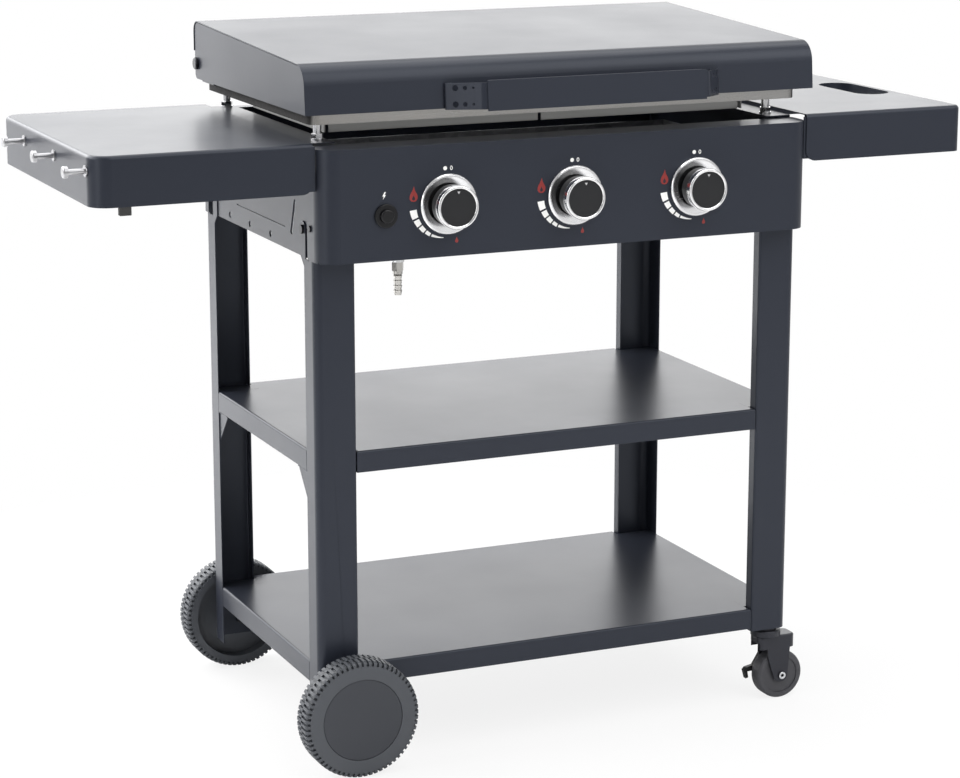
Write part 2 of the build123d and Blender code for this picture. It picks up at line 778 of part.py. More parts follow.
def control_knob(name, x):
    """A valve stem, the knob that slides on its flat, and the bright ring round the knob's face."""
    front = -panel_front - stem_front
    with BuildPart() as stem:
        rod((x, front, control_height), BACKWARD, stem_radius,
            stem_front + sheet + stem_back - stem_end_gap)
        slab((x - stem_radius, x + stem_radius), (front, front + stem_flat_length),
             (control_height + stem_flat, control_height + stem_radius), Mode.SUBTRACT)
    keep(f"{name}_valve_stem", stem)

    socket_end = front - knob_push - stem_end_gap
    socket_radius = stem_radius + running_gap
    with BuildPart() as knob:
        rod((x, -panel_front - knob_back, control_height), FORWARD, knob_radius, knob_shoulder - knob_back)
        rod((x, -panel_front - knob_shoulder, control_height), FORWARD, knob_face_radius,
            knob_face - knob_shoulder)
        rod((x, socket_end, control_height), BACKWARD, socket_radius,
            -panel_front - knob_back - socket_end, Mode.SUBTRACT)
        slab((x - stem_radius, x + stem_radius), (socket_end, front + stem_flat_length - knob_push - sheet),
             (control_height + stem_flat + running_gap, control_height + stem_radius + sheet))
    keep(f"{name}_knob", knob)

    with BuildPart() as ring:
        with BuildSketch(Plane.XZ.offset(panel_front + knob_shoulder)):
            with Locations((x, control_height)):
                Circle(ring_radius)
                Circle(knob_face_radius + slip_gap, mode=Mode.SUBTRACT)
        extrude(amount=ring_front - knob_shoulder)
        fillet(ring.edges().group_by(Axis.Y)[0], ring_round)
    keep(f"{name}_knob_ring", ring)


for control_name, control_x in control_xs.items():
    control_knob(control_name, control_x)

with BuildPart() as igniter_housing:
    igniter_seat = Vector(igniter_x, -panel_front, igniter_height)
    igniter_mouth = igniter_seat + FORWARD * igniter_flange
    rod(igniter_seat, FORWARD, igniter_flange_radius, igniter_flange)
    rod(igniter_seat, BACKWARD, igniter_barrel_radius, igniter_barrel_depth)
    rod(igniter_mouth, BACKWARD, igniter_button_radius + slip_gap,
        igniter_flange + igniter_barrel_depth - igniter_wall, Mode.SUBTRACT)
    fillet(igniter_housing.edges().group_by(Axis.Y)[0].sort_by(SortBy.RADIUS)[-1], igniter_wall / 2)
keep("igniter_housing", igniter_housing)

with BuildPart() as igniter_button:
    rod(igniter_seat + FORWARD * igniter_button_front, BACKWARD, igniter_button_radius,
        igniter_button_front + igniter_button_depth)
    fillet(igniter_button.edges().group_by(Axis.Y)[0], igniter_wall)
keep("igniter_button", igniter_button)


# Griddle pan on four feet, with a chute through the back rim

def pan_plan(inset):
    """The griddle's outline with rounded corners, drawn in by an inset."""
    with Locations((0, (griddle_back - griddle_front) / 2)):
        RectangleRounded(2 * (griddle_half_width - inset), griddle_front + griddle_back - 2 * inset,
                         griddle_corner - inset)


with BuildPart() as griddle_plate:
    with BuildSketch(Plane.XY.offset(griddle_bottom)):
        pan_plan(0)
    extrude(amount=griddle_rim_height)
    with BuildSketch(Plane.XY.offset(griddle_top)):
        pan_plan(griddle_rim_wall)
    extrude(amount=griddle_rim_height, mode=Mode.SUBTRACT)
    chute_inner = chute_half_width - chute_wall
    slab((-chute_half_width, chute_half_width), (griddle_back, griddle_back + chute_length),
         (griddle_bottom, griddle_bottom + chute_height))
    slab((-chute_inner, chute_inner), (griddle_back - 2 * griddle_rim_wall, griddle_back + chute_length),
         (griddle_top, griddle_bottom + griddle_rim_height), Mode.SUBTRACT)
keep("griddle_plate", griddle_plate)

with BuildPart() as wind_guard:
    guard_bottom = griddle_bottom - guard_height
    slab((-guard_half_width, guard_half_width), (-guard_front, guard_back), (guard_bottom, griddle_bottom))
    guard_inner = guard_half_width - sheet
    slab((-guard_inner, guard_inner), (sheet - guard_front, guard_back - sheet),
         (guard_bottom, griddle_bottom), Mode.SUBTRACT)
    for slot_x in (guard_slot - guard_half_width, 0, guard_half_width - guard_slot):
        slab((slot_x - guard_slot / 2, slot_x + guard_slot / 2), (-guard_front, 2 * sheet - guard_front),
             (guard_bottom, guard_bottom + guard_slot_height), Mode.SUBTRACT)
keep("wind_guard", wind_guard)

with BuildPart() as griddle_feet:
    for side_x in (-1, 1):
        for foot_y in (-foot_front, foot_back):
            seat = Vector(side_x * foot_x, foot_y, foot_seat)
            rod(seat, UP, foot_radius, griddle_bottom - foot_seat)
            rod(seat, UP, foot_washer_radius, foot_washer_height)
            nut(seat + UP * foot_washer_height, UP, foot_nut_across, foot_nut_height, foot_radius / 2)
keep("griddle_feet", griddle_feet)

with BuildPart() as grease_cup:
    cup_y = (rear_reach + seam_gap, rear_reach + cup_depth)
    slab((-cup_half_width, cup_half_width), cup_y, (cup_top - cup_height, cup_top))
    cup_inner = cup_half_width - cup_wall
    slab((-cup_inner, cup_inner), (cup_y[0] + cup_wall, cup_y[1] - cup_wall),
         (cup_top - cup_height + cup_wall, cup_top), Mode.SUBTRACT)
    for side_x in (-1, 1):
        slab((side_x * cup_inner, side_x * (cup_half_width + cup_flange - seam_gap)), cup_y,
             (cup_top - cup_rail_drop, cup_top - cup_rail_drop + cup_wall))
keep("grease_cup", grease_cup)


# Lid: a bent sheet closed by two end panels, on a hinge bolt at each rear corner

lid_top_lean = (lid_top_front - lid_bottom) * tan(radians(lid_lean))
lid_corners = ((-lid_front, lid_bottom), (lid_top_lean - lid_front, lid_top_front),
               (lid_back, lid_top_back))
lid_bends = (lid_front_bend, lid_back_bend)

with BuildPart() as lid_shell:
    with BuildSketch(Plane.YZ.offset(-lid_half_width)):
        with BuildLine():
            FilletPolyline(*lid_corners, (lid_back, lid_back_bottom), radius=lid_bends)
            offset(amount=sheet, side=Side.RIGHT)
        make_face()
    extrude(amount=2 * lid_half_width)
    for side_x in (-1, 1):
        slab((side_x * (lid_inside - hinge_notch), side_x * lid_half_width),
             (lid_back - 2 * sheet, lid_back), (lid_back_bottom, hinge_z + hinge_notch), Mode.SUBTRACT)
keep("lid_shell", lid_shell)

with BuildPart() as lid_ends:
    end_inset = sheet + lid_seam
    end_low = lid_bottom - end_inset
    end_toe = (-lid_front - end_inset * tan(radians(lid_lean)), end_low)
    for side_x in (-1, 1):
        with BuildSketch(Plane.YZ.offset(side_x * lid_inside)):
            with BuildLine():
                FilletPolyline(end_toe, *lid_corners[1:], (lid_back, end_low), (0, end_low),
                               radius=(*lid_bends, lid_end_round))
                Line((0, end_low), end_toe)
            make_face()
            offset(amount=-end_inset)
            with Locations((hinge_y, hinge_z)):
                Circle(hinge_pin_radius + running_gap, mode=Mode.SUBTRACT)
        extrude(amount=side_x * sheet)
        ledge_z = griddle_bottom + griddle_rim_height + seam_gap
        slab((side_x * lid_inside, side_x * (griddle_half_width - griddle_rim_wall)),
             (-lid_ledge_front, lid_ledge_back), (ledge_z, ledge_z + sheet))
keep("lid_ends", lid_ends)

lean = radians(lid_lean)
handle_y = (handle_height - lid_bottom) * tan(lean) - lid_front
handle_plane = Plane(origin=(handle_shift, handle_y, handle_height), x_dir=(1, 0, 0),
                     z_dir=(0, sin(lean), cos(lean)))
arm_direction = Vector(handle_splay, handle_reach, 0).normalized()
board_half_width = handle_half_width - handle_bend / 2

with BuildPart() as lid_handle:
    with BuildSketch(handle_plane):
        with BuildLine():
            FilletPolyline((handle_tab - handle_root, 0), (-handle_root, 0),
                           (-handle_half_width, -handle_reach), (handle_half_width, -handle_reach),
                           (handle_root, 0), (handle_root - handle_tab, 0),
                           radius=(handle_root_bend, handle_bend, handle_bend, handle_root_bend))
            offset(amount=handle_wall, side=Side.LEFT)
        make_face()
    extrude(amount=handle_arm_height / 2, both=True)
    with BuildSketch(handle_plane):
        with Locations((0, -handle_reach)):
            Rectangle(2 * board_half_width, handle_wall, align=(Align.CENTER, Align.MAX))
    extrude(amount=board_height / 2, both=True)
    for side_z in (-1, 1):
        with BuildSketch(handle_plane.offset(side_z * board_height / 2)):
            with BuildLine():
                lip_back = board_lip - handle_reach - handle_wall
                Polyline((-board_half_width, -handle_reach), (board_half_width, -handle_reach),
                         (board_half_width - board_lip / 2, lip_back),
                         (board_lip / 2 - board_half_width, lip_back), close=True)
            make_face()
        extrude(amount=-side_z * handle_wall)
    for side_x in (-1, 1):
        along = handle_plane.x_dir * (-side_x * arm_direction.X) - handle_plane.y_dir * arm_direction.Y
        root = handle_plane.origin + handle_plane.x_dir * (side_x * handle_root)
        for distance, hole_radius in arm_holes:
            for side_z in (-1, 1):
                middle = root + along * distance + handle_plane.z_dir * (side_z * arm_hole_spacing / 2)
                across = along.cross(handle_plane.z_dir)
                rod(middle - across * (2 * handle_wall), across, hole_radius, 4 * handle_wall, Mode.SUBTRACT)
keep("lid_handle", lid_handle)

with BuildPart() as hinge_brackets:
    for side_x in (-1, 1):
        plate_x = side_x * griddle_half_width
        slab((plate_x, plate_x + side_x * hinge_plate),
             (hinge_y - hinge_plate_front, hinge_y + hinge_plate_back),
             (griddle_bottom + hinge_plate_lift, hinge_z + hinge_plate_rise))
        boss_length = lid_inside - seam_gap - griddle_half_width
        rod((plate_x, hinge_y, hinge_z), (side_x, 0, 0), hinge_boss_radius, boss_length)
        rod((plate_x, hinge_y, hinge_z), (side_x, 0, 0), hinge_pin_radius + slip_gap, boss_length,
            Mode.SUBTRACT)
keep("hinge_brackets", hinge_brackets)

with BuildPart() as hinge_bolts:
    for side_x in (-1, 1):
        head_x = lid_inside + sheet + seam_gap
        seat = (side_x * head_x, hinge_y, hinge_z)
        bolt(seat, (side_x, 0, 0), hinge_pin_radius, head_x - griddle_half_width,
             hinge_head_radius, hinge_head_height)
    fillet(hinge_bolts.edges().group_by(Axis.X)[0] + hinge_bolts.edges().group_by(Axis.X)[-1],
           hinge_head_height / 2)
keep("hinge_bolts", hinge_bolts)


# Side tables: inverted trays, open towards the cart, that fold down about two pins each

lug_outer = {-1: table_front - sheet - seam_gap - table_bracket_wall - seam_gap,
             1: table_back - sheet - seam_gap - table_bracket_wall - seam_gap}


def table_plan(side, width, corner, inset, run_on):
    """A table's outline with rounded outer corners, run on past its inner end."""
    inner = side * (table_gap - run_on)
    outer = side * (table_gap + width - inset)
    with Locations(((inner + outer) / 2, (table_back - table_front) / 2)):
        Rectangle(abs(outer - inner), table_front + table_back - 2 * inset)
    fillet(vertices().group_by(Axis.X)[0 if side < 0 else -1], corner - inset)


def side_table(side, width, corner):
    """The folded tray and the two pivot lugs inside it."""
    with BuildSketch(Plane.XY.offset(table_top - table_apron)) as outside:
        table_plan(side, width, corner, 0, 0)
    extrude(outside.sketch, amount=table_apron)
    by_reach = edges().group_by(Axis.Z)[-1].sort_by(Axis.X)
    fillet(by_reach[:-1] if side < 0 else by_reach[1:], table_bend)
    with BuildSketch(Plane.XY.offset(table_top - table_apron)) as inside:
        table_plan(side, width, corner, sheet, sheet)
    extrude(inside.sketch, amount=table_apron - sheet, mode=Mode.SUBTRACT)
    inner_ends = edges().filter_by(Axis.Y).group_by(Axis.Z)[0].group_by(Axis.X)[-1 if side < 0 else 0]
    fillet(inner_ends, table_inner_round)
    for side_y, lug_y in lug_outer.items():
        lug_faces = (side_y * lug_y, side_y * (lug_y - lug_wall))
        lug_radius = pivot_inset - seam_gap
        lug_end = side * (table_gap + lug_length)
        slab((side * (table_gap + seam_gap), lug_end), lug_faces, (pivot_z, table_top - sheet))
        slab((side * pivot_x, lug_end), lug_faces, (pivot_z - lug_radius, pivot_z))
        rod((side * pivot_x, side_y * lug_y, pivot_z), (0, -side_y, 0), lug_radius, lug_wall)
        rod((side * pivot_x, side_y * lug_y, pivot_z), (0, -side_y, 0), pivot_radius + running_gap, lug_wall,
            Mode.SUBTRACT)


with BuildPart() as left_table:
    side_table(-1, left_table_width, left_table_corner)
keep("left_table", left_table)

with BuildPart() as right_table:
    side_table(1, right_table_width, right_table_corner)
    slot_x = table_gap + right_table_width - slot_margin - slot_width / 2
    with BuildSketch(Plane.XY.offset(table_top - sheet)):
        with Locations((slot_x, slot_y)):
            SlotOverall(slot_length + 2 * sheet, slot_width + 2 * sheet, rotation=90)
    extrude(amount=-slot_collar)
    with BuildSketch(Plane.XY.offset(table_top)):
        with Locations((slot_x, slot_y)):
            SlotOverall(slot_length, slot_width, rotation=90)
    extrude(amount=-slot_collar - 2 * sheet, mode=Mode.SUBTRACT)
keep("right_table", right_table)

with BuildPart() as table_brackets:
    for side_x in (-1, 1):
        foot_inner = side_x * panel_half_width
        foot_outer = side_x * (panel_half_width + table_bracket_wall)
        for side_y, lug_y in lug_outer.items():
            plate_near = side_y * (lug_y + seam_gap)
            plate_far = side_y * (lug_y + seam_gap + table_bracket_wall)
            low = pivot_z - table_bracket_height / 2
            high = pivot_z + table_bracket_height / 2
            slab((foot_inner, side_x * pivot_x), (plate_near, plate_far),
                 (low, table_top - sheet - table_bracket_top_gap))
            rod((side_x * pivot_x, plate_far, pivot_z), (0, -side_y, 0), table_bracket_height / 2,
                table_bracket_wall)
            rod((side_x * pivot_x, plate_far, pivot_z), (0, -side_y, 0), pivot_radius,
                table_bracket_wall + seam_gap + lug_wall + sheet)
            foot_ends = sorted((plate_near, plate_far, screw_y[side_y] + table_bracket_foot))
            slab((foot_inner, foot_outer), (foot_ends[0], foot_ends[-1]), (low, high))
            rod((foot_outer, screw_y[side_y], pivot_z), (-side_x, 0, 0), screw_radius + hole_gap,
                2 * table_bracket_wall, Mode.SUBTRACT)
keep("table_brackets", table_brackets)

with BuildPart() as tool_hooks:
    hook_seat_x = -table_gap - left_table_width
    for step in (-1, 0, 1):
        seat = Vector(hook_seat_x, hook_middle + step * hook_pitch, table_top - hook_drop)
        rod(seat, LEFT, hook_radius, hook_shank)
        rod(seat + LEFT * hook_shank, LEFT, hook_head_radius, hook_head)
        rod(seat, LEFT, hook_head_radius, sheet)
    fillet(tool_hooks.edges().group_by(Axis.X)[0], hook_head / 3)
keep("tool_hooks", tool_hooks)

with BuildPart() as table_bumper:
    bumper_x = bumper_inset - table_gap - left_table_width
    apron_bottom = table_top - table_apron
    slab((bumper_x - bumper_width / 2, bumper_x + bumper_width / 2),
         (sheet - table_front, sheet + bumper_depth - table_front),
         (apron_bottom - bumper_height, apron_bottom + bumper_bite))
    slab((bumper_x - bumper_width / 2, bumper_x + bumper_width / 2), (-table_front, sheet - table_front),
         (apron_bottom - bumper_height, apron_bottom))
keep("table_bumper", table_bumper)


# Big wheels on stub axles through the left legs

def big_wheel(name, side_y):
    """A moulded tread wheel and its hub cap, outside the web of one left leg."""
    outward = Vector(0, side_y, 0)
    inner_face = Vector(axle_x, side_y * (half_depth + wheel_standoff), wheel_radius)
    outer_face = inner_face + outward * wheel_width
    cap_seat = outer_face - outward * cap_thickness
    head_seat = cap_seat - outward * (axle_head_height + seam_gap)
    with BuildPart() as wheel:
        rod(inner_face, outward, wheel_radius, wheel_width)
        fillet(wheel.edges(), wheel_round)
        for row, start in enumerate((inner_face, inner_face + outward * (wheel_width / 2))):
            row_middle = start + outward * (wheel_width / 4)
            with Locations(Plane(origin=row_middle, x_dir=(1, 0, 0), z_dir=outward)):
                with PolarLocations(wheel_radius, tread_count, start_angle=row * 180 / tread_count):
                    Box(2 * tread_depth, tread_gap, wheel_width / 2, mode=Mode.SUBTRACT)
        for row, face in enumerate((inner_face, outer_face)):
            with Locations(Plane(origin=face, x_dir=(1, 0, 0), z_dir=outward)):
                with PolarLocations(wheel_radius, tread_count, start_angle=row * 180 / tread_count):
                    Box(2 * shoulder_depth, tread_gap, 2 * shoulder_width, mode=Mode.SUBTRACT)
        rod(inner_face - outward * (wheel_standoff - seam_gap), outward, wheel_hub_radius,
            wheel_width / 2)
        with BuildSketch(Plane(origin=inner_face, z_dir=outward)):
            Circle(wheel_recess_outer)
            Circle(wheel_recess_inner, mode=Mode.SUBTRACT)
        extrude(amount=wheel_recess_depth, mode=Mode.SUBTRACT)
        rod(cap_seat, outward, cap_radius + slip_gap, cap_thickness, Mode.SUBTRACT)
        rod(head_seat, outward, axle_head_radius + seam_gap, axle_head_height + seam_gap, Mode.SUBTRACT)
        rod(inner_face - outward * wheel_standoff, outward, axle_radius + running_gap,
            wheel_standoff + wheel_width, Mode.SUBTRACT)
    keep(f"{name}_wheel", wheel)

    with BuildPart() as cap:
        rod(cap_seat, outward, cap_radius, cap_thickness)
        fillet(cap.edges().group_by(Axis.Y)[0 if side_y < 0 else -1], cap_thickness / 2)
    keep(f"{name}_wheel_cap", cap)


big_wheel("front", -1)
big_wheel("rear", 1)

axle_head_seat = half_depth + wheel_standoff + wheel_width - cap_thickness - axle_head_height
axle_end = half_depth - sheet - axle_nut_height - sheet

with BuildPart() as wheel_axle_bolts:
    for side_y in (-1, 1):
        seat = (axle_x, side_y * axle_head_seat, wheel_radius)
        bolt(seat, (0, side_y, 0), axle_radius, axle_head_seat - axle_end, axle_head_radius,
             axle_head_height - seam_gap)
keep("wheel_axle_bolts", wheel_axle_bolts)

with BuildPart() as wheel_axle_nuts:
    for side_y in (-1, 1):
        nut((axle_x, side_y * (half_depth - sheet), wheel_radius), (0, -side_y, 0), axle_nut_across,
            axle_nut_height, axle_radius + slip_gap)
keep("wheel_axle_nuts", wheel_axle_nuts)


# Castors under the right legs

with BuildPart() as caster_stems:
    for side_y in (-1, 1):
        plate_x = (leg_x - leg_web / 2 + sheet, leg_x + leg_web / 2 - sheet)
        plate_y = (side_y * flange_edge, side_y * (half_depth - leg_bend))
        slab(plate_x, plate_y, (caster_leg_bottom, caster_leg_bottom + caster_plate))
        stem_foot = Vector(caster_x, side_y * leg_y, caster_leg_bottom)
        rod(stem_foot, DOWN, caster_collar_radius, caster_leg_bottom - caster_head_top - seam_gap)
        rod(stem_foot, DOWN, caster_stem_radius, caster_leg_bottom - rivet_top + seam_gap)
        rod((caster_x, side_y * leg_y, rivet_top - seam_gap), DOWN, caster_rivet_radius, caster_rivet_height)
keep("caster_stems", caster_stems)


def caster(name, side_y):
    """A hooded swivel fork with its riveted axle, the wheel in it and the brake lever beside it."""
    post = Vector(caster_x, side_y * leg_y, 0)
    upright = Plane(origin=post, x_dir=RIGHT, z_dir=FORWARD)
    hub = post + RIGHT * caster_trail + UP * caster_wheel_radius
    brake_pivot = post + RIGHT * brake_pivot_x + UP * brake_pivot_z
    skirt_bottom = rivet_top - hood_skirt
    with BuildPart() as fork:
        with BuildSketch(Plane.XY.offset(skirt_bottom)):
            with Locations((post.X + (hood_back - hood_front) / 2, post.Y)):
                RectangleRounded(hood_front + hood_back, 2 * cheek_outer, hood_round)
        extrude(amount=hood_top - skirt_bottom)
        fillet(fork.edges().group_by(Axis.Z)[-1], caster_cheek)
        slab((post.X - hood_front - sheet, post.X + hood_back - caster_cheek),
             (post.Y - cheek_inner, post.Y + cheek_inner), (skirt_bottom, rivet_top), Mode.SUBTRACT)
        for side in (-1, 1):
            with BuildSketch(upright.offset(side * (cheek_inner + cheek_outer) / 2)):
                with BuildLine():
                    Polyline((-cheek_front, rivet_top), (-cheek_front, cheek_knee),
                             (caster_trail - caster_cheek_round, caster_wheel_radius - caster_cheek_round),
                             (caster_trail + caster_cheek_round, caster_wheel_radius - caster_cheek_round),
                             (caster_trail + caster_cheek_round, caster_wheel_radius),
                             (hood_back - hood_round, skirt_bottom), (hood_back - hood_round, rivet_top),
                             close=True)
                make_face()
                fillet(vertices().group_by(Axis.Y)[0], caster_cheek_round - running_gap)
            extrude(amount=caster_cheek / 2, both=True)
        rod(post + UP * hood_top, UP, caster_head_radius, caster_head_height)
        fillet(fork.edges().group_by(Axis.Z)[-1], caster_head_height / 4)
        rod(hub + FORWARD * cheek_outer, BACKWARD, caster_axle_radius, 2 * cheek_outer)
        for outward in (FORWARD, BACKWARD):
            rod(hub + outward * cheek_outer, outward, caster_rivet_ring, caster_cheek)
        rod(hub + FORWARD * 2 * cheek_outer, BACKWARD, caster_rivet_bore, 4 * cheek_outer, Mode.SUBTRACT)
        rod(brake_pivot, BACKWARD, brake_pin_radius + running_gap, 2 * cheek_outer, Mode.SUBTRACT)
        rod(post + UP * rivet_top, UP, caster_stem_radius + running_gap, hood_height + caster_head_height,
            Mode.SUBTRACT)
    keep(f"{name}_caster_fork", fork)

    with BuildPart() as wheel:
        face = hub + FORWARD * (caster_wheel_width / 2)
        rod(face, BACKWARD, caster_wheel_radius, caster_wheel_width)
        fillet(wheel.edges(), caster_wheel_round)
        for depth in (0, caster_wheel_width - caster_recess_depth):
            with BuildSketch(Plane(origin=face + BACKWARD * depth, z_dir=BACKWARD)):
                Circle(caster_recess_outer)
                Circle(caster_recess_inner, mode=Mode.SUBTRACT)
            extrude(amount=caster_recess_depth, mode=Mode.SUBTRACT)
        rod(face, BACKWARD, caster_axle_radius + running_gap, caster_wheel_width, Mode.SUBTRACT)
    keep(f"{name}_caster_wheel", wheel)

    lever_inner = cheek_outer + seam_gap
    with BuildPart() as lever:
        with BuildSketch(upright.offset(-lever_inner)):
            with BuildLine():
                Polyline(*brake_arm, (brake_pivot_x - brake_eye, brake_pivot_z + brake_eye),
                         (brake_pivot_x + brake_eye, brake_pivot_z + brake_eye),
                         (brake_pivot_x + brake_eye, brake_pivot_z - brake_eye), close=True)
            make_face()
        extrude(amount=-brake_thickness)
        rod(brake_pivot + BACKWARD * (cheek_inner + seam_gap), BACKWARD, brake_pin_radius, caster_cheek)
    keep(f"{name}_caster_brake", lever)


caster("front", -1)
caster("rear", 1)


# Place the whole set: origin on the floor under the middle of the outline

outline_box = Compound(children=[Part(piece.wrapped) for piece in pieces.values()]).bounding_box()
base_centre = Location((-outline_box.center().X, -outline_box.center().Y, -outline_box.min.Z))

for piece_name, piece in pieces.items():
    placed = piece.moved(base_centre)
    placed.label = piece_name
    export_step(placed, f"parts/{piece_name}.step")
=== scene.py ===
"""Looks of a gas plancha on a wheeled cart.

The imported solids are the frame. This script dresses every solid with a procedural finish, rounds the
folded edges, adds the printed scale marks and the small fittings, and sets up the studio.
"""

import logging
import math
from dataclasses import dataclass
from enum import Enum
from typing import Callable, Iterable, Sequence

import bmesh
import bpy
from mathutils import Euler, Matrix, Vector


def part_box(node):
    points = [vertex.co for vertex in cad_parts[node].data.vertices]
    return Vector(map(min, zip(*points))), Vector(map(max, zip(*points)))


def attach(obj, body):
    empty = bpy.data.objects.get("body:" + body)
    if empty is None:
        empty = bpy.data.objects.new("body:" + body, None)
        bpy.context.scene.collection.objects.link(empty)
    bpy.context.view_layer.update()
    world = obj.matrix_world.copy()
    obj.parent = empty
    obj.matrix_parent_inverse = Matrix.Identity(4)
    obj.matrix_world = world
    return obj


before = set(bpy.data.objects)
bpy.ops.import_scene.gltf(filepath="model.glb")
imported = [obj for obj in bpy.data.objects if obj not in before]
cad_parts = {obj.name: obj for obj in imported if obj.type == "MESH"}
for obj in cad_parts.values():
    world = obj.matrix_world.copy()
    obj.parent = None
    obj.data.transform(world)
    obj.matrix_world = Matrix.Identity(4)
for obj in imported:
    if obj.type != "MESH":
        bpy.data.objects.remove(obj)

LOG = logging.getLogger("plancha")
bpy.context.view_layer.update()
MM = 0.001

Point2 = tuple[float, float]
Colour = tuple[float, float, float]
Mark = tuple[float, float, float, float]
Placing = Callable[[float, float, float], Vector]


class Axis(Enum):
    """Direction that a brushed grain follows."""

    X = (1.0, 0.0, 0.0)
    Y = (0.0, 1.0, 0.0)


class Ink(Enum):
    """Printing inks on the control panel, as linear colours."""

    WHITE = (0.92, 0.92, 0.90)
    RED = (0.24, 0.018, 0.015)


# Shader node groups

PEEL_WAVE_SCALE = 0.18
PEEL_WAVE_HEIGHT = 1.4
CLOUD_SCALE = 5.0
CLOUD_ROUGH = 0.6
CLOUD_RANGE = (0.3, 0.7)
DUST_UPWARD = (0.2, 0.95)
DUST_PATCH_SCALE = 4.0
DUST_PATCH_RANGE = (0.3, 0.8)
DUST_PATCH_FILM = (0.5, 1.0)
DUST_SPECK_SCALE = 420.0
DUST_SPECK_RANGE = (0.45, 0.75)
DUST_SPECK_FILM = (0.25, 1.0)
SCUFF_TURNS = (0.35, 1.9)
SCUFF_TILT = (1.0, 0.7, 1.3)
SCUFF_STRETCH = (1.0, 14.0, 14.0)
SCUFF_RANGE = (0.66, 0.72)
RUB_SCALE = 14.0
RUB_RANGE = (0.45, 0.7)
BRUSH_STRETCH = 0.02
BRUSH_SCALE = 1600.0
BRUSH_ROUGH = 0.7
BRUSH_BROAD_SCALE = 220.0
BRUSH_RANGE = (0.35, 0.65)
UNIT = (0.0, 1.0)


class NodeGroups:
    """Shader effects that several finishes share, each built once."""

    def __init__(self) -> None:
        """Start with no group built."""
        self._built: dict[str, bpy.types.NodeTree] = {}

    def get(self, name: str, build: Callable[[bpy.types.NodeTree], None]) -> bpy.types.NodeTree:
        """Give a group by name, building it on first use.

        Args:
            name: The group's name.
            build: Fills a new, empty group.

        Returns:
            The shader node group.
        """
        if name not in self._built:
            tree = bpy.data.node_groups.new(name, "ShaderNodeTree")
            build(tree)
            self._built[name] = tree
        return self._built[name]


GROUPS = NodeGroups()


def add_socket(tree: bpy.types.NodeTree, name: str, out: bool, value: float | None = None) -> None:
    """Add a named value socket to a node group.

    Args:
        tree: The group.
        name: The socket's name.
        out: True for an output, False for an input.
        value: A default value for an input.
    """
    way = "OUTPUT" if out else "INPUT"
    socket = tree.interface.new_socket(name, in_out=way, socket_type="NodeSocketFloat")
    if value is not None:
        socket.default_value = value


def link(tree: bpy.types.NodeTree, source: bpy.types.NodeSocket, target: bpy.types.NodeSocket) -> None:
    """Join two sockets of one node tree."""
    tree.links.new(source, target)


def math_node(tree: bpy.types.NodeTree, operation: str, first: object, second: object = None,
              clamp: bool = False) -> bpy.types.NodeSocket:
    """Add a math node whose inputs are sockets or plain numbers.

    Args:
        tree: The node tree.
        operation: Blender's name of the operation.
        first: A socket or a number.
        second: A socket, a number or nothing.
        clamp: Keep the result between 0 and 1.

    Returns:
        The node's output socket.
    """
    node = tree.nodes.new("ShaderNodeMath")
    node.operation = operation
    node.use_clamp = clamp
    for socket, value in zip(node.inputs, (first, second)):
        if isinstance(value, bpy.types.NodeSocket):
            link(tree, value, socket)
        elif value is not None:
            socket.default_value = value
    return node.outputs[0]


def noise_node(tree: bpy.types.NodeTree, vector: bpy.types.NodeSocket, scale: object, detail: float,
               rough: float = 0.5) -> bpy.types.NodeSocket:
    """Add a noise texture and give its value output.

    Args:
        tree: The node tree.
        vector: The coordinates.
        scale: A socket or a number.
        detail: Octaves of detail.
        rough: How strong the fine octaves are.

    Returns:
        The noise value.
    """
    node = tree.nodes.new("ShaderNodeTexNoise")
    link(tree, vector, node.inputs["Vector"])
    if isinstance(scale, bpy.types.NodeSocket):
        link(tree, scale, node.inputs["Scale"])
    else:
        node.inputs["Scale"].default_value = scale
    node.inputs["Detail"].default_value = detail
    node.inputs["Roughness"].default_value = rough
    return node.outputs["Fac"]


def object_coordinates(tree: bpy.types.NodeTree) -> bpy.types.NodeSocket:
    """Add object coordinates, in metres, to a node tree."""
    return tree.nodes.new("ShaderNodeTexCoord").outputs["Object"]


def stretch(tree: bpy.types.NodeTree, vector: bpy.types.NodeSocket,
            scale: Sequence[float]) -> bpy.types.NodeSocket:
    """Scale coordinates unevenly.

    Args:
        tree: The node tree.
        vector: The coordinates.
        scale: A factor for each axis.

    Returns:
        The stretched coordinates.
    """
    node = tree.nodes.new("ShaderNodeMapping")
    node.inputs["Scale"].default_value = scale
    link(tree, vector, node.inputs["Vector"])
    return node.outputs["Vector"]


def map_range(tree: bpy.types.NodeTree, value: bpy.types.NodeSocket, source: Point2,
              target: tuple[object, object]) -> bpy.types.NodeSocket:
    """Map a value from one range to another, clamped.

    Args:
        tree: The node tree.
        value: The value to map.
        source: The range it comes from.
        target: The range it goes to, as sockets or numbers.

    Returns:
        The mapped value.
    """
    node = tree.nodes.new("ShaderNodeMapRange")
    link(tree, value, node.inputs["Value"])
    node.inputs["From Min"].default_value, node.inputs["From Max"].default_value = source
    for name, end in zip(("To Min", "To Max"), target):
        if isinstance(end, bpy.types.NodeSocket):
            link(tree, end, node.inputs[name])
        else:
            node.inputs[name].default_value = end
    return node.outputs["Result"]


def group_ends(tree: bpy.types.NodeTree) -> tuple[bpy.types.Node, bpy.types.Node]:
    """Add the input and output nodes of a group."""
    return tree.nodes.new("NodeGroupInput"), tree.nodes.new("NodeGroupOutput")


def gloss_ends(entry: bpy.types.Node) -> tuple[bpy.types.NodeSocket, bpy.types.NodeSocket]:
    """Give a group's inputs for the least and the greatest roughness."""
    return entry.outputs["Gloss Low"], entry.outputs["Gloss High"]


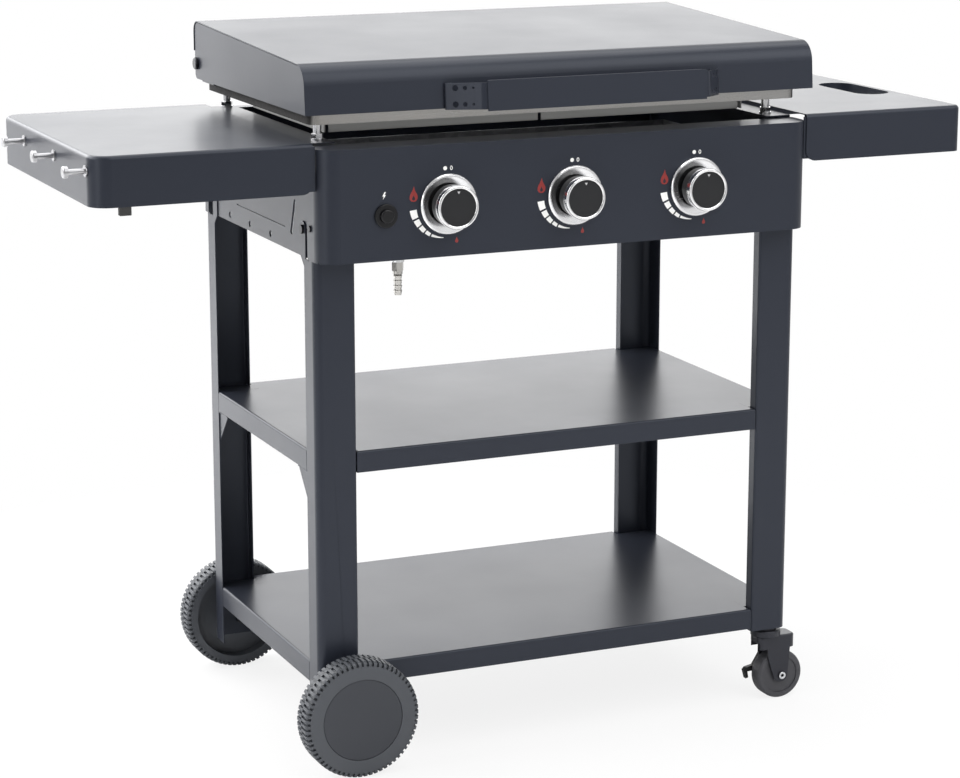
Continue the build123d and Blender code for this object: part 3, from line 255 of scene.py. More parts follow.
def build_orange_peel(tree: bpy.types.NodeTree) -> None:
    """Fill the group that gives sprayed powder its fine dimples and its uneven gloss."""
    add_socket(tree, "Grain", False, value=900.0)
    add_socket(tree, "Gloss Low", False, value=0.3)
    add_socket(tree, "Gloss High", False, value=0.4)
    add_socket(tree, "Height", True)
    add_socket(tree, "Roughness", True)
    add_socket(tree, "Cloud", True)
    ends = group_ends(tree)
    place = object_coordinates(tree)
    fine = noise_node(tree, place, ends[0].outputs["Grain"], detail=1.0)
    coarse = math_node(tree, "MULTIPLY", ends[0].outputs["Grain"], PEEL_WAVE_SCALE)
    wave = noise_node(tree, place, coarse, detail=2.0)
    height = math_node(tree, "ADD", fine, math_node(tree, "MULTIPLY", wave, PEEL_WAVE_HEIGHT))
    cloud = noise_node(tree, place, CLOUD_SCALE, detail=4.0, rough=CLOUD_ROUGH)
    gloss = map_range(tree, cloud, CLOUD_RANGE, gloss_ends(ends[0]))
    link(tree, height, ends[1].inputs["Height"])
    link(tree, gloss, ends[1].inputs["Roughness"])
    link(tree, cloud, ends[1].inputs["Cloud"])


def build_dust(tree: bpy.types.NodeTree) -> None:
    """Fill the group that lays a thin patchy film on surfaces that face upward."""
    add_socket(tree, "Amount", False, value=0.5)
    add_socket(tree, "Mask", True)
    ends = group_ends(tree)
    place = object_coordinates(tree)
    normal = tree.nodes.new("ShaderNodeNewGeometry").outputs["Normal"]
    parts = tree.nodes.new("ShaderNodeSeparateXYZ")
    link(tree, normal, parts.inputs[0])
    upward = map_range(tree, parts.outputs["Z"], DUST_UPWARD, UNIT)
    broad = noise_node(tree, place, DUST_PATCH_SCALE, detail=3.0)
    patches = map_range(tree, broad, DUST_PATCH_RANGE, DUST_PATCH_FILM)
    fine = noise_node(tree, place, DUST_SPECK_SCALE, detail=2.0)
    specks = map_range(tree, fine, DUST_SPECK_RANGE, DUST_SPECK_FILM)
    film = math_node(tree, "MULTIPLY", math_node(tree, "MULTIPLY", upward, patches), specks)
    link(tree, math_node(tree, "MULTIPLY", film, ends[0].outputs["Amount"], True), ends[1].inputs["Mask"])


def build_scuffs(tree: bpy.types.NodeTree) -> None:
    """Fill the group of short fine scratches and rubbed patches."""
    add_socket(tree, "Scale", False, value=60.0)
    add_socket(tree, "Mask", True)
    add_socket(tree, "Height", True)
    ends = group_ends(tree)
    place = object_coordinates(tree)
    lines = None
    for turn in SCUFF_TURNS:
        rotate = tree.nodes.new("ShaderNodeMapping")
        rotate.inputs["Rotation"].default_value = [turn * part for part in SCUFF_TILT]
        rotate.inputs["Scale"].default_value = SCUFF_STRETCH
        link(tree, place, rotate.inputs["Vector"])
        hair = noise_node(tree, rotate.outputs["Vector"], ends[0].outputs["Scale"], detail=2.0)
        thin = map_range(tree, hair, SCUFF_RANGE, UNIT)
        lines = thin if lines is None else math_node(tree, "MAXIMUM", lines, thin)
    where = map_range(tree, noise_node(tree, place, RUB_SCALE, detail=3.0), RUB_RANGE, UNIT)
    mask = math_node(tree, "MULTIPLY", lines, where, True)
    link(tree, mask, ends[1].inputs["Mask"])
    link(tree, math_node(tree, "MULTIPLY", mask, -1.0), ends[1].inputs["Height"])


def build_brushed(tree: bpy.types.NodeTree, along: Axis) -> None:
    """Fill a group of brushed grain along one axis.

    Args:
        tree: The group.
        along: The direction of the grain.
    """
    add_socket(tree, "Gloss Low", False, value=0.2)
    add_socket(tree, "Gloss High", False, value=0.4)
    add_socket(tree, "Roughness", True)
    add_socket(tree, "Height", True)
    ends = group_ends(tree)
    scale = [BRUSH_STRETCH if part else 1.0 for part in along.value]
    lined = stretch(tree, object_coordinates(tree), scale)
    grain = noise_node(tree, lined, BRUSH_SCALE, detail=3.0, rough=BRUSH_ROUGH)
    broad = noise_node(tree, lined, BRUSH_BROAD_SCALE, detail=2.0)
    both = math_node(tree, "MULTIPLY", math_node(tree, "ADD", grain, broad), 0.5)
    gloss = map_range(tree, both, BRUSH_RANGE, gloss_ends(ends[0]))
    link(tree, gloss, ends[1].inputs["Roughness"])
    link(tree, both, ends[1].inputs["Height"])


# Finishes


@dataclass(frozen=True)
class Finish:
    """A surface finish: the shared part of every material."""

    name: str
    colour: Colour
    slot: str

    def material(self) -> bpy.types.Material:
        """Give the material of this finish, making it on first use."""
        found = bpy.data.materials.get(self.name)
        if found:
            return found
        made = bpy.data.materials.new(self.name)
        made.use_nodes = True
        made.diffuse_color = (*self.colour, 1.0)
        shader = made.node_tree.nodes["Principled BSDF"]
        shader.inputs["Base Color"].default_value = (*self.colour, 1.0)
        self.paint(made.node_tree, shader)
        return made

    def paint(self, tree: bpy.types.NodeTree, shader: bpy.types.Node) -> None:
        """Set the shader's sockets; each kind of finish has its own.

        Args:
            tree: The material's node tree.
            shader: Its Principled BSDF.
        """
        raise NotImplementedError

    def place_group(self, tree: bpy.types.NodeTree, name: str, build: Callable[[bpy.types.NodeTree], None],
                    **values: float) -> bpy.types.Node:
        """Place a shared group in this material with its own values.

        Args:
            tree: The material's node tree.
            name: The group's name.
            build: Builds the group on first use.
            values: Input values, with underscores for spaces.

        Returns:
            The group node.
        """
        node = tree.nodes.new("ShaderNodeGroup")
        node.node_tree = GROUPS.get(name, build)
        for key, value in values.items():
            node.inputs[key.replace("_", " ")].default_value = value
        return node

    def bump(self, tree: bpy.types.NodeTree, shader: bpy.types.Node, height: bpy.types.NodeSocket,
             strength: float, distance: float) -> None:
        """Feed a height into the shader's normal.

        Args:
            tree: The material's node tree.
            shader: Its Principled BSDF.
            height: The height value.
            strength: Strength of the bump.
            distance: Depth of the bump in metres.
        """
        node = tree.nodes.new("ShaderNodeBump")
        node.inputs["Strength"].default_value = strength
        node.inputs["Distance"].default_value = distance
        link(tree, height, node.inputs["Height"])
        link(tree, node.outputs["Normal"], shader.inputs["Normal"])

    def tint(self, tree: bpy.types.NodeTree, shader: bpy.types.Node, mask: bpy.types.NodeSocket,
             other: Colour) -> bpy.types.NodeSocket:
        """Mix the finish's colour towards another one under a mask.

        Args:
            tree: The material's node tree.
            shader: Its Principled BSDF.
            mask: How much of the other colour shows.
            other: The other colour.

        Returns:
            The mixed colour.
        """
        node = tree.nodes.new("ShaderNodeMix")
        node.data_type = "RGBA"
        link(tree, mask, node.inputs["Factor"])
        node.inputs["A"].default_value = (*self.colour, 1.0)
        node.inputs["B"].default_value = (*other, 1.0)
        link(tree, node.outputs["Result"], shader.inputs["Base Color"])
        return node.outputs["Result"]


@dataclass(frozen=True)
class PowderCoat(Finish):
    """Baked satin powder on folded sheet steel."""

    gloss: Point2 = (0.30, 0.34)
    peel: float = 900.0
    depth: float = 0.00004
    dust: float = 0.12
    sheen: Colour = (0.85, 0.90, 1.0)
    sheen_level: float = 0.3
    dust_tone: Point2 = (0.6, 0.06)
    dust_matt: float = 0.1
    relief: float = 0.35

    def paint(self, tree: bpy.types.NodeTree, shader: bpy.types.Node) -> None:
        """Give fine dimples, clouded gloss and a breath of dust on top faces."""
        peel = self.place_group(tree, "orange_peel", build_orange_peel, Grain=self.peel,
                                Gloss_Low=self.gloss[0], Gloss_High=self.gloss[1])
        dust = self.place_group(tree, "dust_film", build_dust, Amount=self.dust)
        pale = tuple(part * self.dust_tone[0] + self.dust_tone[1] for part in self.colour)
        self.tint(tree, shader, dust.outputs["Mask"], pale)
        rough = math_node(tree, "ADD", peel.outputs["Roughness"],
                          math_node(tree, "MULTIPLY", dust.outputs["Mask"], self.dust_matt))
        link(tree, rough, shader.inputs["Roughness"])
        shader.inputs["Specular IOR Level"].default_value = self.sheen_level
        shader.inputs["Specular Tint"].default_value = (*self.sheen, 1.0)
        self.bump(tree, shader, peel.outputs["Height"], self.relief, self.depth)


@dataclass(frozen=True)
class MouldedPlastic(Finish):
    """Moulded plastic or rubber with a spark-eroded grain."""

    gloss: Point2 = (0.45, 0.6)
    grain: float = 1400.0
    depth: float = 0.00005
    dust: float = 0.5
    sheen_level: float = 0.5
    dust_tone: Point2 = (0.7, 0.07)
    relief: float = 0.5

    def paint(self, tree: bpy.types.NodeTree, shader: bpy.types.Node) -> None:
        """Give a fine grain, clouded gloss and dust in the mouldings."""
        grain = self.place_group(tree, "orange_peel", build_orange_peel, Grain=self.grain,
                                 Gloss_Low=self.gloss[0], Gloss_High=self.gloss[1])
        dust = self.place_group(tree, "dust_film", build_dust, Amount=self.dust)
        pale = tuple(part * self.dust_tone[0] + self.dust_tone[1] for part in self.colour)
        self.tint(tree, shader, dust.outputs["Mask"], pale)
        link(tree, grain.outputs["Roughness"], shader.inputs["Roughness"])
        shader.inputs["Specular IOR Level"].default_value = self.sheen_level
        self.bump(tree, shader, grain.outputs["Height"], self.relief, self.depth)


@dataclass(frozen=True)
class BrightPlate(Finish):
    """Polished plated metal with hairline scuffs."""

    gloss: Point2 = (0.06, 0.16)
    scuff: float = 60.0
    scuff_matt: float = 0.18
    haze: float = 260.0
    relief: float = 0.1
    depth: float = 0.00002

    def paint(self, tree: bpy.types.NodeTree, shader: bpy.types.Node) -> None:
        """Give a mirror with hairlines and slightly hazy patches."""
        scuffs = self.place_group(tree, "scuffs", build_scuffs, Scale=self.scuff)
        peel = self.place_group(tree, "orange_peel", build_orange_peel, Grain=self.haze,
                                Gloss_Low=self.gloss[0], Gloss_High=self.gloss[1])
        worn = math_node(tree, "MULTIPLY", scuffs.outputs["Mask"], self.scuff_matt)
        link(tree, math_node(tree, "ADD", peel.outputs["Roughness"], worn), shader.inputs["Roughness"])
        shader.inputs["Metallic"].default_value = 1.0
        self.bump(tree, shader, scuffs.outputs["Height"], self.relief, self.depth)


@dataclass(frozen=True)
class BrushedSteel(Finish):
    """Brushed sheet or tube with an optional heat tint and an optional dark film of painted shade on the
    outer end walls.
    """

    along: Axis = Axis.X
    gloss: Point2 = (0.22, 0.42)
    heat: Colour = (0.42, 0.33, 0.22)
    heat_amount: float = 0.0
    # painted shade: strength of the dark film on the outer end walls
    painted_shade_level: float = 0.0
    scuff: float = 45.0
    scuff_matt: float = 0.12
    mottle: float = 200.0
    heat_range: Point2 = (0.4, 0.75)
    relief: float = 0.25
    depth: float = 0.00003
    # colour, added roughness, reach, cloud range and cover of the painted shade film on the outer end walls
    painted_shade_tone: Colour = (0.02, 0.02, 0.022)
    painted_shade_matt: float = 0.6
    painted_shade_reach: Point2 = (0.12, 0.24)
    painted_shade_range: Point2 = (0.2, 0.8)
    painted_shade_cover: Point2 = (1.0, 0.92)

    def paint(self, tree: bpy.types.NodeTree, shader: bpy.types.Node) -> None:
        """Give a grain along one axis, scuffs, heat patches and a dark matt film of painted shade on the
        outer end walls.
        """
        name = f"brushed_{self.along.name.lower()}"
        grain = self.place_group(tree, name, lambda made: build_brushed(made, self.along),
                                 Gloss_Low=self.gloss[0], Gloss_High=self.gloss[1])
        scuffs = self.place_group(tree, "scuffs", build_scuffs, Scale=self.scuff)
        cloud = self.place_group(tree, "orange_peel", build_orange_peel, Grain=self.mottle)
        heat = map_range(tree, cloud.outputs["Cloud"], self.heat_range, (0.0, self.heat_amount))
        heated = self.tint(tree, shader, heat, self.heat)
        worn = math_node(tree, "MULTIPLY", scuffs.outputs["Mask"], self.scuff_matt)
        rough = math_node(tree, "ADD", grain.outputs["Roughness"], worn)
        # painted shade: a dark matt film darkens the outer end walls
        if self.painted_shade_level:
            film = self.paint_wall_shade(tree, shader, heated, cloud.outputs["Cloud"])
            rough = math_node(tree, "ADD", rough, math_node(tree, "MULTIPLY", film, self.painted_shade_matt))
        link(tree, rough, shader.inputs["Roughness"])
        shader.inputs["Metallic"].default_value = 1.0
        self.bump(tree, shader, grain.outputs["Height"], self.relief, self.depth)

    def paint_wall_shade(self, tree: bpy.types.NodeTree, shader: bpy.types.Node, under: bpy.types.NodeSocket,
                cloud: bpy.types.NodeSocket) -> bpy.types.NodeSocket:
        """Darken the outer faces of the end walls with a clouded matt film of painted shade, standing for
        their shadow and their dark reflection.

        Args:
            tree: The material's node tree.
            shader: Its Principled BSDF.
            under: The colour below the film.
            cloud: Uneven thickness of the film.

        Returns:
            How much of the film covers the steel.
        """
        facing = tree.nodes.new("ShaderNodeSeparateXYZ")
        link(tree, tree.nodes.new("ShaderNodeNewGeometry").outputs["Normal"], facing.inputs[0])
        place = tree.nodes.new("ShaderNodeSeparateXYZ")
        link(tree, object_coordinates(tree), place.inputs[0])
        outward = math_node(tree, "MULTIPLY", facing.outputs["X"], place.outputs["X"])
        wall = map_range(tree, outward, self.painted_shade_reach, (0.0, self.painted_shade_level))
        film = math_node(tree, "MULTIPLY", wall, map_range(tree, cloud, self.painted_shade_range, self.painted_shade_cover))
        node = tree.nodes.new("ShaderNodeMix")
        node.data_type = "RGBA"
        link(tree, film, node.inputs["Factor"])
        link(tree, under, node.inputs["A"])
        node.inputs["B"].default_value = (*self.painted_shade_tone, 1.0)
        link(tree, node.outputs["Result"], shader.inputs["Base Color"])
        return film


@dataclass(frozen=True)
class ZincSheet(Finish):
    """Galvanised sheet with crystal spangle."""

    spangle: float = 90.0
    crystal_share: float = 0.5
    crystal_tone: float = 0.62
    gloss: Point2 = (0.3, 0.55)
    scuff: float = 50.0
    relief: float = 0.15
    depth: float = 0.00003

    def paint(self, tree: bpy.types.NodeTree, shader: bpy.types.Node) -> None:
        """Give crystal patches that differ in tone and gloss."""
        cells = tree.nodes.new("ShaderNodeTexVoronoi")
        cells.inputs["Scale"].default_value = self.spangle
        link(tree, object_coordinates(tree), cells.inputs["Vector"])
        parts = tree.nodes.new("ShaderNodeSeparateColor")
        link(tree, cells.outputs["Color"], parts.inputs[0])
        self.tint(tree, shader, math_node(tree, "MULTIPLY", parts.outputs[0], self.crystal_share),
                  tuple(part * self.crystal_tone for part in self.colour))
        link(tree, map_range(tree, parts.outputs[1], UNIT, self.gloss), shader.inputs["Roughness"])
        shader.inputs["Metallic"].default_value = 1.0
        scuffs = self.place_group(tree, "scuffs", build_scuffs, Scale=self.scuff)
        self.bump(tree, shader, scuffs.outputs["Height"], self.relief, self.depth)


@dataclass(frozen=True)
class Glaze(Finish):
    """Glazed ceramic or screen-printed ink: a glossy film with slight unevenness."""

    gloss: Point2 = (0.2, 0.35)
    grain: float = 700.0
    mottle_share: float = 0.3
    mottle_tone: float = 0.8
    relief: float = 0.15
    depth: float = 0.00003

    def paint(self, tree: bpy.types.NodeTree, shader: bpy.types.Node) -> None:
        """Give a faint mottle and uneven gloss."""
        peel = self.place_group(tree, "orange_peel", build_orange_peel, Grain=self.grain,
                                Gloss_Low=self.gloss[0], Gloss_High=self.gloss[1])
        self.tint(tree, shader, math_node(tree, "MULTIPLY", peel.outputs["Cloud"], self.mottle_share),
                  tuple(part * self.mottle_tone for part in self.colour))
        link(tree, peel.outputs["Roughness"], shader.inputs["Roughness"])
        self.bump(tree, shader, peel.outputs["Height"], self.relief, self.depth)


COAT = PowderCoat("satin_black_coat", (0.0185, 0.0212, 0.0300), "powder_coat")
HARDWARE = PowderCoat("black_oxide", (0.018, 0.018, 0.020), "black_fastener", gloss=(0.28, 0.42),
                      peel=1500.0)
FORK_COAT = PowderCoat("castor_black_coat", (0.024, 0.024, 0.029), "powder_coat", gloss=(0.26, 0.36))
WHEEL = MouldedPlastic("wheel_grey_plastic", (0.055, 0.060, 0.070), "wheel_plastic")
CAP = MouldedPlastic("cap_grey_plastic", (0.036, 0.039, 0.047), "cap_plastic", gloss=(0.42, 0.52), dust=0.3,
                     sheen_level=0.35)
CASTOR_TREAD = MouldedPlastic("castor_tread", (0.046, 0.046, 0.053), "caster_tread", gloss=(0.42, 0.55))
KNOB = MouldedPlastic("knob_black", (0.010, 0.0105, 0.012), "black_plastic", gloss=(0.34, 0.40), dust=0.1,
                      sheen_level=0.32)
BUTTON = MouldedPlastic("button_black", (0.008, 0.008, 0.009), "black_plastic", gloss=(0.22, 0.28),
                        dust=0.05, sheen_level=0.25)
PEDAL = MouldedPlastic("pedal_black", (0.012, 0.012, 0.013), "black_plastic", gloss=(0.35, 0.48))
CHROME = BrightPlate("polished_chrome", (0.80, 0.80, 0.81), "bright_chrome")
HOOK = BrightPlate("dull_hook_plate", (0.40, 0.40, 0.41), "bright_chrome", gloss=(0.28, 0.38))
ZINC = BrightPlate("zinc_plate", (0.62, 0.63, 0.65), "zinc_steel", gloss=(0.22, 0.36))
NICKEL = BrightPlate("nickel_fitting", (0.44, 0.43, 0.41), "bright_chrome", gloss=(0.26, 0.36))
SATIN = BrightPlate("satin_chrome", (0.78, 0.78, 0.79), "bright_chrome", gloss=(0.12, 0.20))
GALVANISED = ZincSheet("galvanised_sheet", (0.50, 0.51, 0.53), "galvanised")
GUARD = BrushedSteel("guard_sheet", (0.40, 0.40, 0.39), "galvanised", Axis.X, (0.32, 0.42))
# the griddle plate gets painted shade: a dark matt film on its outer end walls
PLATE = BrushedSteel("griddle_stainless", (0.36, 0.355, 0.345), "griddle_steel", Axis.X, (0.16, 0.28),
                     heat_amount=0.12, painted_shade_level=0.95)
BURNER = BrushedSteel("burner_tube", (0.55, 0.53, 0.51), "burner_steel", Axis.Y, (0.3, 0.5),
                      (0.20, 0.17, 0.24), 0.8)
MANIFOLD = BrushedSteel("drawn_aluminium", (0.68, 0.69, 0.70), "manifold_aluminium", Axis.X)
BRASS = BrushedSteel("turned_brass", (0.72, 0.56, 0.27), "valve_brass", Axis.Y)
CERAMIC = Glaze("electrode_ceramic", (0.80, 0.79, 0.74), "ceramic", (0.12, 0.22))
RUBBER = MouldedPlastic("bumper_rubber", (0.020, 0.020, 0.021), "bumper_rubber", gloss=(0.6, 0.75))
WHITE_INK = Glaze("print_white", Ink.WHITE.value, "powder_coat", (0.35, 0.5))
RED_INK = Glaze("print_red", Ink.RED.value, "powder_coat", (0.35, 0.5))


# Building help

WELD_REACH = 0.00001
BEVEL_STEPS = 2
BEVEL_ANGLE = math.radians(32)


def dress(names: Iterable[str], finish: Finish, edge: float = 0.0) -> None:
    """Give CAD nodes a finish and round their edges.

    Args:
        names: The nodes.
        finish: The finish.
        edge: Width of the edge rounding in metres, or 0 for none.
    """
    for name in names:
        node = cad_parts[name]
        node.data.materials.clear()
        node.data.materials.append(finish.material())
        if edge:
            weld = node.modifiers.new("join_faces", "WELD")
            weld.merge_threshold = WELD_REACH
            bevel = node.modifiers.new("round_edges", "BEVEL")
            bevel.width = edge
            bevel.segments = BEVEL_STEPS
            bevel.limit_method = "ANGLE"
            bevel.angle_limit = BEVEL_ANGLE
            bevel.harden_normals = False
            bevel.use_clamp_overlap = True
            smooth = node.modifiers.new("even_normals", "WEIGHTED_NORMAL")
            smooth.keep_sharp = True
        LOG.info("dressed %s in %s", name, finish.name)


def new_piece(name: str, mesh: bpy.types.Mesh, finish: Finish, body: str) -> None:
    """Put a mesh into the scene as a piece that rides a body.

    Args:
        name: The piece's name.
        mesh: Its mesh.
        finish: Its finish.
        body: The CAD body that carries it.
    """
    piece = bpy.data.objects.new(name, mesh)
    bpy.context.scene.collection.objects.link(piece)
    mesh.materials.append(finish.material())
    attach(piece, body)
    LOG.info("made %s on %s", name, body)


def prism(mesh: bmesh.types.BMesh, outline: Sequence[Point2], place: Placing, depth: float) -> None:
    """Add a closed flat prism to a mesh.

    Args:
        mesh: The mesh to add to.
        outline: Its corners, anticlockwise seen from the front.
        place: Turns flat coordinates and a depth into a point.
        depth: Its thickness.
    """
    back = [mesh.verts.new(place(u, v, 0.0)) for u, v in outline]
    front = [mesh.verts.new(place(u, v, depth)) for u, v in outline]
    mesh.faces.new(front)
    mesh.faces.new(back[::-1])
    for index in range(len(outline)):
        after = (index + 1) % len(outline)
        mesh.faces.new((back[index], back[after], front[after], front[index]))


def finish_mesh(mesh: bmesh.types.BMesh, name: str) -> bpy.types.Mesh:
    """Turn a working mesh into mesh data with outward normals.

    Args:
        mesh: The working mesh, which is freed.
        name: The data's name.

    Returns:
        The mesh data.
    """
    bmesh.ops.recalc_face_normals(mesh, faces=mesh.faces)
    data = bpy.data.meshes.new(name)
    mesh.to_mesh(data)
    mesh.free()
    return data


def middle(name: str) -> Vector:
    """Give the middle of a CAD node's box."""
    low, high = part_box(name)
    return (Vector(low) + Vector(high)) / 2


# Sub-assemblies


@dataclass
class CartFrame:
    """Legs, shelves and the bolts between them."""

    edge: float = 0.0005
    sheet: float = 0.0015
    flange: float = 0.036
    flange_room: float = 0.0018
    lip: float = 0.0163
    lap: float = 0.0038
    lift: float = 0.00005

    def build(self) -> None:
        """Dress the cart's frame and carry the shelves into the legs."""
        dress(("front_left_leg", "front_right_leg", "rear_left_leg", "rear_right_leg"), COAT, self.edge)
        dress(("bottom_shelf", "middle_shelf", "shelf_brackets"), COAT, self.edge)
        dress(("frame_bolts",), HARDWARE, self.edge)
        for shelf in ("bottom_shelf", "middle_shelf"):
            self.tongues(shelf)

    def tongues(self, shelf: str) -> None:
        """Carry a shelf's sheet on into the open channels of the legs.

        Args:
            shelf: The shelf.
        """
        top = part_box(shelf)[1][2] + self.lift
        mesh = bmesh.new()
        for end, side_y in (("front", -1.0), ("rear", 1.0)):
            for hand, side_x in (("left", -1.0), ("right", 1.0)):
                low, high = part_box(f"{end}_{hand}_leg")
                outer, inner = (low[0], high[0]) if side_x < 0 else (high[0], low[0])
                web = low[1] if side_y < 0 else high[1]
                across = (outer - side_x * self.flange_room, inner - side_x * self.lap)
                along = (web - side_y * self.lip, web - side_y * (self.flange + self.lap))
                corners = [(across[0], along[0]), (across[1], along[0]), (across[1], along[1]),
                           (across[0], along[1])]
                prism(mesh, corners, lambda u, v, down: Vector((u, v, top - down)), self.sheet)
        new_piece(f"{shelf}_tongues", finish_mesh(mesh, f"{shelf}_tongues"), COAT, "cart")


@dataclass
class BurnerBox:
    """Panels round the burners, with the gas train inside."""

    edge: float = 0.0005

    def build(self) -> None:
        """Dress the box and the gas train."""
        dress(("front_panel", "rear_panel"), COAT, self.edge)
        dress(("left_side_panel", "right_side_panel"), COAT)
        dress(("panel_screws",), HARDWARE, self.edge)
        dress(("burner_tray", "grease_cup"), GALVANISED, self.edge)
        dress(("wind_guard",), GUARD, self.edge)
        dress(("left_burner", "center_burner", "right_burner"), BURNER)
        dress(("gas_manifold",), MANIFOLD)
        dress(("gas_valves", "left_valve_stem", "center_valve_stem", "right_valve_stem"), BRASS)
        dress(("igniter_electrodes",), CERAMIC)
        dress(("gas_inlet_nozzle",), NICKEL)


@dataclass
class Controls:
    """Knobs, bezels, igniter and the printed marks round them."""

    print_depth: float = 0.00015
    dial_radius: float = 0.041
    blocks: tuple[tuple[float, float, float], ...] = (
        (186.5, 200.0, 9.0), (203.0, 213.5, 7.4), (216.0, 226.0, 6.0), (228.5, 237.5, 4.6))
    tail: Mark = (240.0, 262.0, 3.4, 0.6)
    block_taper: float = 0.9
    tail_steps: int = 12
    off_dot: Mark = (-3.4, 43.2, 2.5, 2.5)
    nought_outside: Mark = (4.6, 43.2, 1.75, 2.6)
    nought_inside: Mark = (4.6, 43.2, 0.95, 1.8)
    oval_steps: int = 28
    spark: tuple[Point2, ...] = (
        (0.6, 4.8), (-2.3, -0.4), (-0.2, -0.4), (-1.9, -4.8), (2.4, 1.2), (0.3, 1.2), (2.6, 4.8))
    spark_place: Point2 = (-2.0, 24.0)
    flame_shape: tuple[Point2, ...] = (
        (0.0, -0.5), (0.16, -0.46), (0.26, -0.33), (0.28, -0.16), (0.22, 0.0), (0.13, 0.14), (0.07, 0.28),
        (0.03, 0.5), (-0.03, 0.34), (-0.10, 0.18), (-0.20, 0.03), (-0.27, -0.14), (-0.27, -0.31),
        (-0.17, -0.46))
    large_flame: tuple[float, float, float] = (-44.5, 14.5, 19.0)
    flame_heart: tuple[float, float, float] = (-44.5, 10.2, 7.0)
    small_flame: tuple[float, float, float] = (11.5, -44.5, 7.6)
    pointer_inset: float = 5.4
    pointer_half_width: float = 2.0
    pointer_length: float = 3.2
    pointer_rise: float = 0.8
    knob_edge: float = 0.0012
    fitting_edge: float = 0.0004
    knobs: tuple[str, ...] = ("left", "center", "right")

    def build(self) -> None:
        """Dress the controls, then print the marks and set the pointers."""
        for name in self.knobs:
            dress((f"{name}_knob",), KNOB, self.knob_edge)
            dress((f"{name}_knob_ring",), CHROME)
            self.pointer(name)
        dress(("knob_bezels",), SATIN, self.fitting_edge)
        dress(("igniter_housing", "igniter_button"), BUTTON, self.fitting_edge)
        self.print_white()
        self.print_red()

    def on_panel(self, x: float, z: float) -> Placing:
        """Give the placing of a print about a point of the panel's face.

        Args:
            x: The point's X.
            z: The point's Z.

        Returns:
            A function from millimetres right and up, and metres forward, to a point.
        """
        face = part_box("front_panel")[0][1]
        return lambda u, v, forward: Vector((x + u * MM, face - forward, z + v * MM))

    def ring_block(self, start: float, end: float, inner: float, outer: Sequence[float],
                   steps: int = 6) -> list[Point2]:
        """Outline a block of the heat scale.

        Args:
            start: First angle in degrees.
            end: Last angle.
            inner: Inner radius in millimetres.
            outer: Outer radii at both ends.
            steps: Segments along the arc.

        Returns:
            The outline.
        """
        inside: list[Point2] = []
        outside: list[Point2] = []
        for step in range(steps + 1):
            share = step / steps
            angle = math.radians(start + (end - start) * share)
            reach = outer[0] + (outer[1] - outer[0]) * share
            inside.append((inner * math.cos(angle), inner * math.sin(angle)))
            outside.append((reach * math.cos(angle), reach * math.sin(angle)))
        return outside + inside[::-1]

    def flame(self, across: float, up: float, height: float) -> list[Point2]:
        """Outline a flame.

        Args:
            across: Millimetres right of the dial's centre.
            up: Millimetres above it.
            height: Height of the flame.

        Returns:
            The outline.
        """
        return [(across + u * height, up + v * height) for u, v in self.flame_shape]

    def print_white(self) -> None:
        """Print the heat scale, the off marks and the spark sign."""
        mesh = bmesh.new()
        for name in self.knobs:
            centre = middle(f"{name}_knob")
            place = self.on_panel(centre.x, centre.z)
            inner = self.dial_radius / MM
            for start, end, thick in self.blocks:
                outer = (inner + thick, inner + thick * self.block_taper)
                prism(mesh, self.ring_block(start, end, inner, outer), place, self.print_depth)
            start, end, thick, thin = self.tail
            outer = (inner + thick, inner + thin)
            prism(mesh, self.ring_block(start, end, inner, outer, self.tail_steps), place, self.print_depth)
            prism(mesh, self.oval(*self.off_dot), place, self.print_depth)
            self.band(mesh, self.oval(*self.nought_outside), self.oval(*self.nought_inside), place)
        centre = middle("igniter_button")
        right, up = self.spark_place
        prism(mesh, [(u + right, v + up) for u, v in self.spark], self.on_panel(centre.x, centre.z),
              self.print_depth)
        new_piece("panel_print_white", finish_mesh(mesh, "panel_print_white"), WHITE_INK, "cart")

    def band(self, mesh: bmesh.types.BMesh, outer: Sequence[Point2], inner: Sequence[Point2],
             place: Placing) -> None:
        """Add a closed band between two outlines of as many corners.

        Args:
            mesh: The print's mesh.
            outer: The outer outline.
            inner: The inner outline.
            place: The placing on the panel.
        """
        for index in range(len(outer)):
            after = (index + 1) % len(outer)
            prism(mesh, (outer[index], outer[after], inner[after], inner[index]), place, self.print_depth)

    def oval(self, across: float, up: float, wide: float, high: float) -> list[Point2]:
        """Outline an oval.

        Args:
            across: Millimetres right of the dial's centre.
            up: Millimetres above it.
            wide: Half its width.
            high: Half its height.

        Returns:
            The outline.
        """
        turns = [turn * math.tau / self.oval_steps for turn in range(self.oval_steps)]
        return [(across + wide * math.cos(turn), up + high * math.sin(turn)) for turn in turns]

    def print_red(self) -> None:
        """Print the large and small flames."""
        mesh = bmesh.new()
        for name in self.knobs:
            centre = middle(f"{name}_knob")
            place = self.on_panel(centre.x, centre.z)
            self.band(mesh, self.flame(*self.large_flame), self.flame(*self.flame_heart), place)
            prism(mesh, self.flame(*self.small_flame), place, self.print_depth)
        new_piece("panel_print_red", finish_mesh(mesh, "panel_print_red"), RED_INK, "cart")

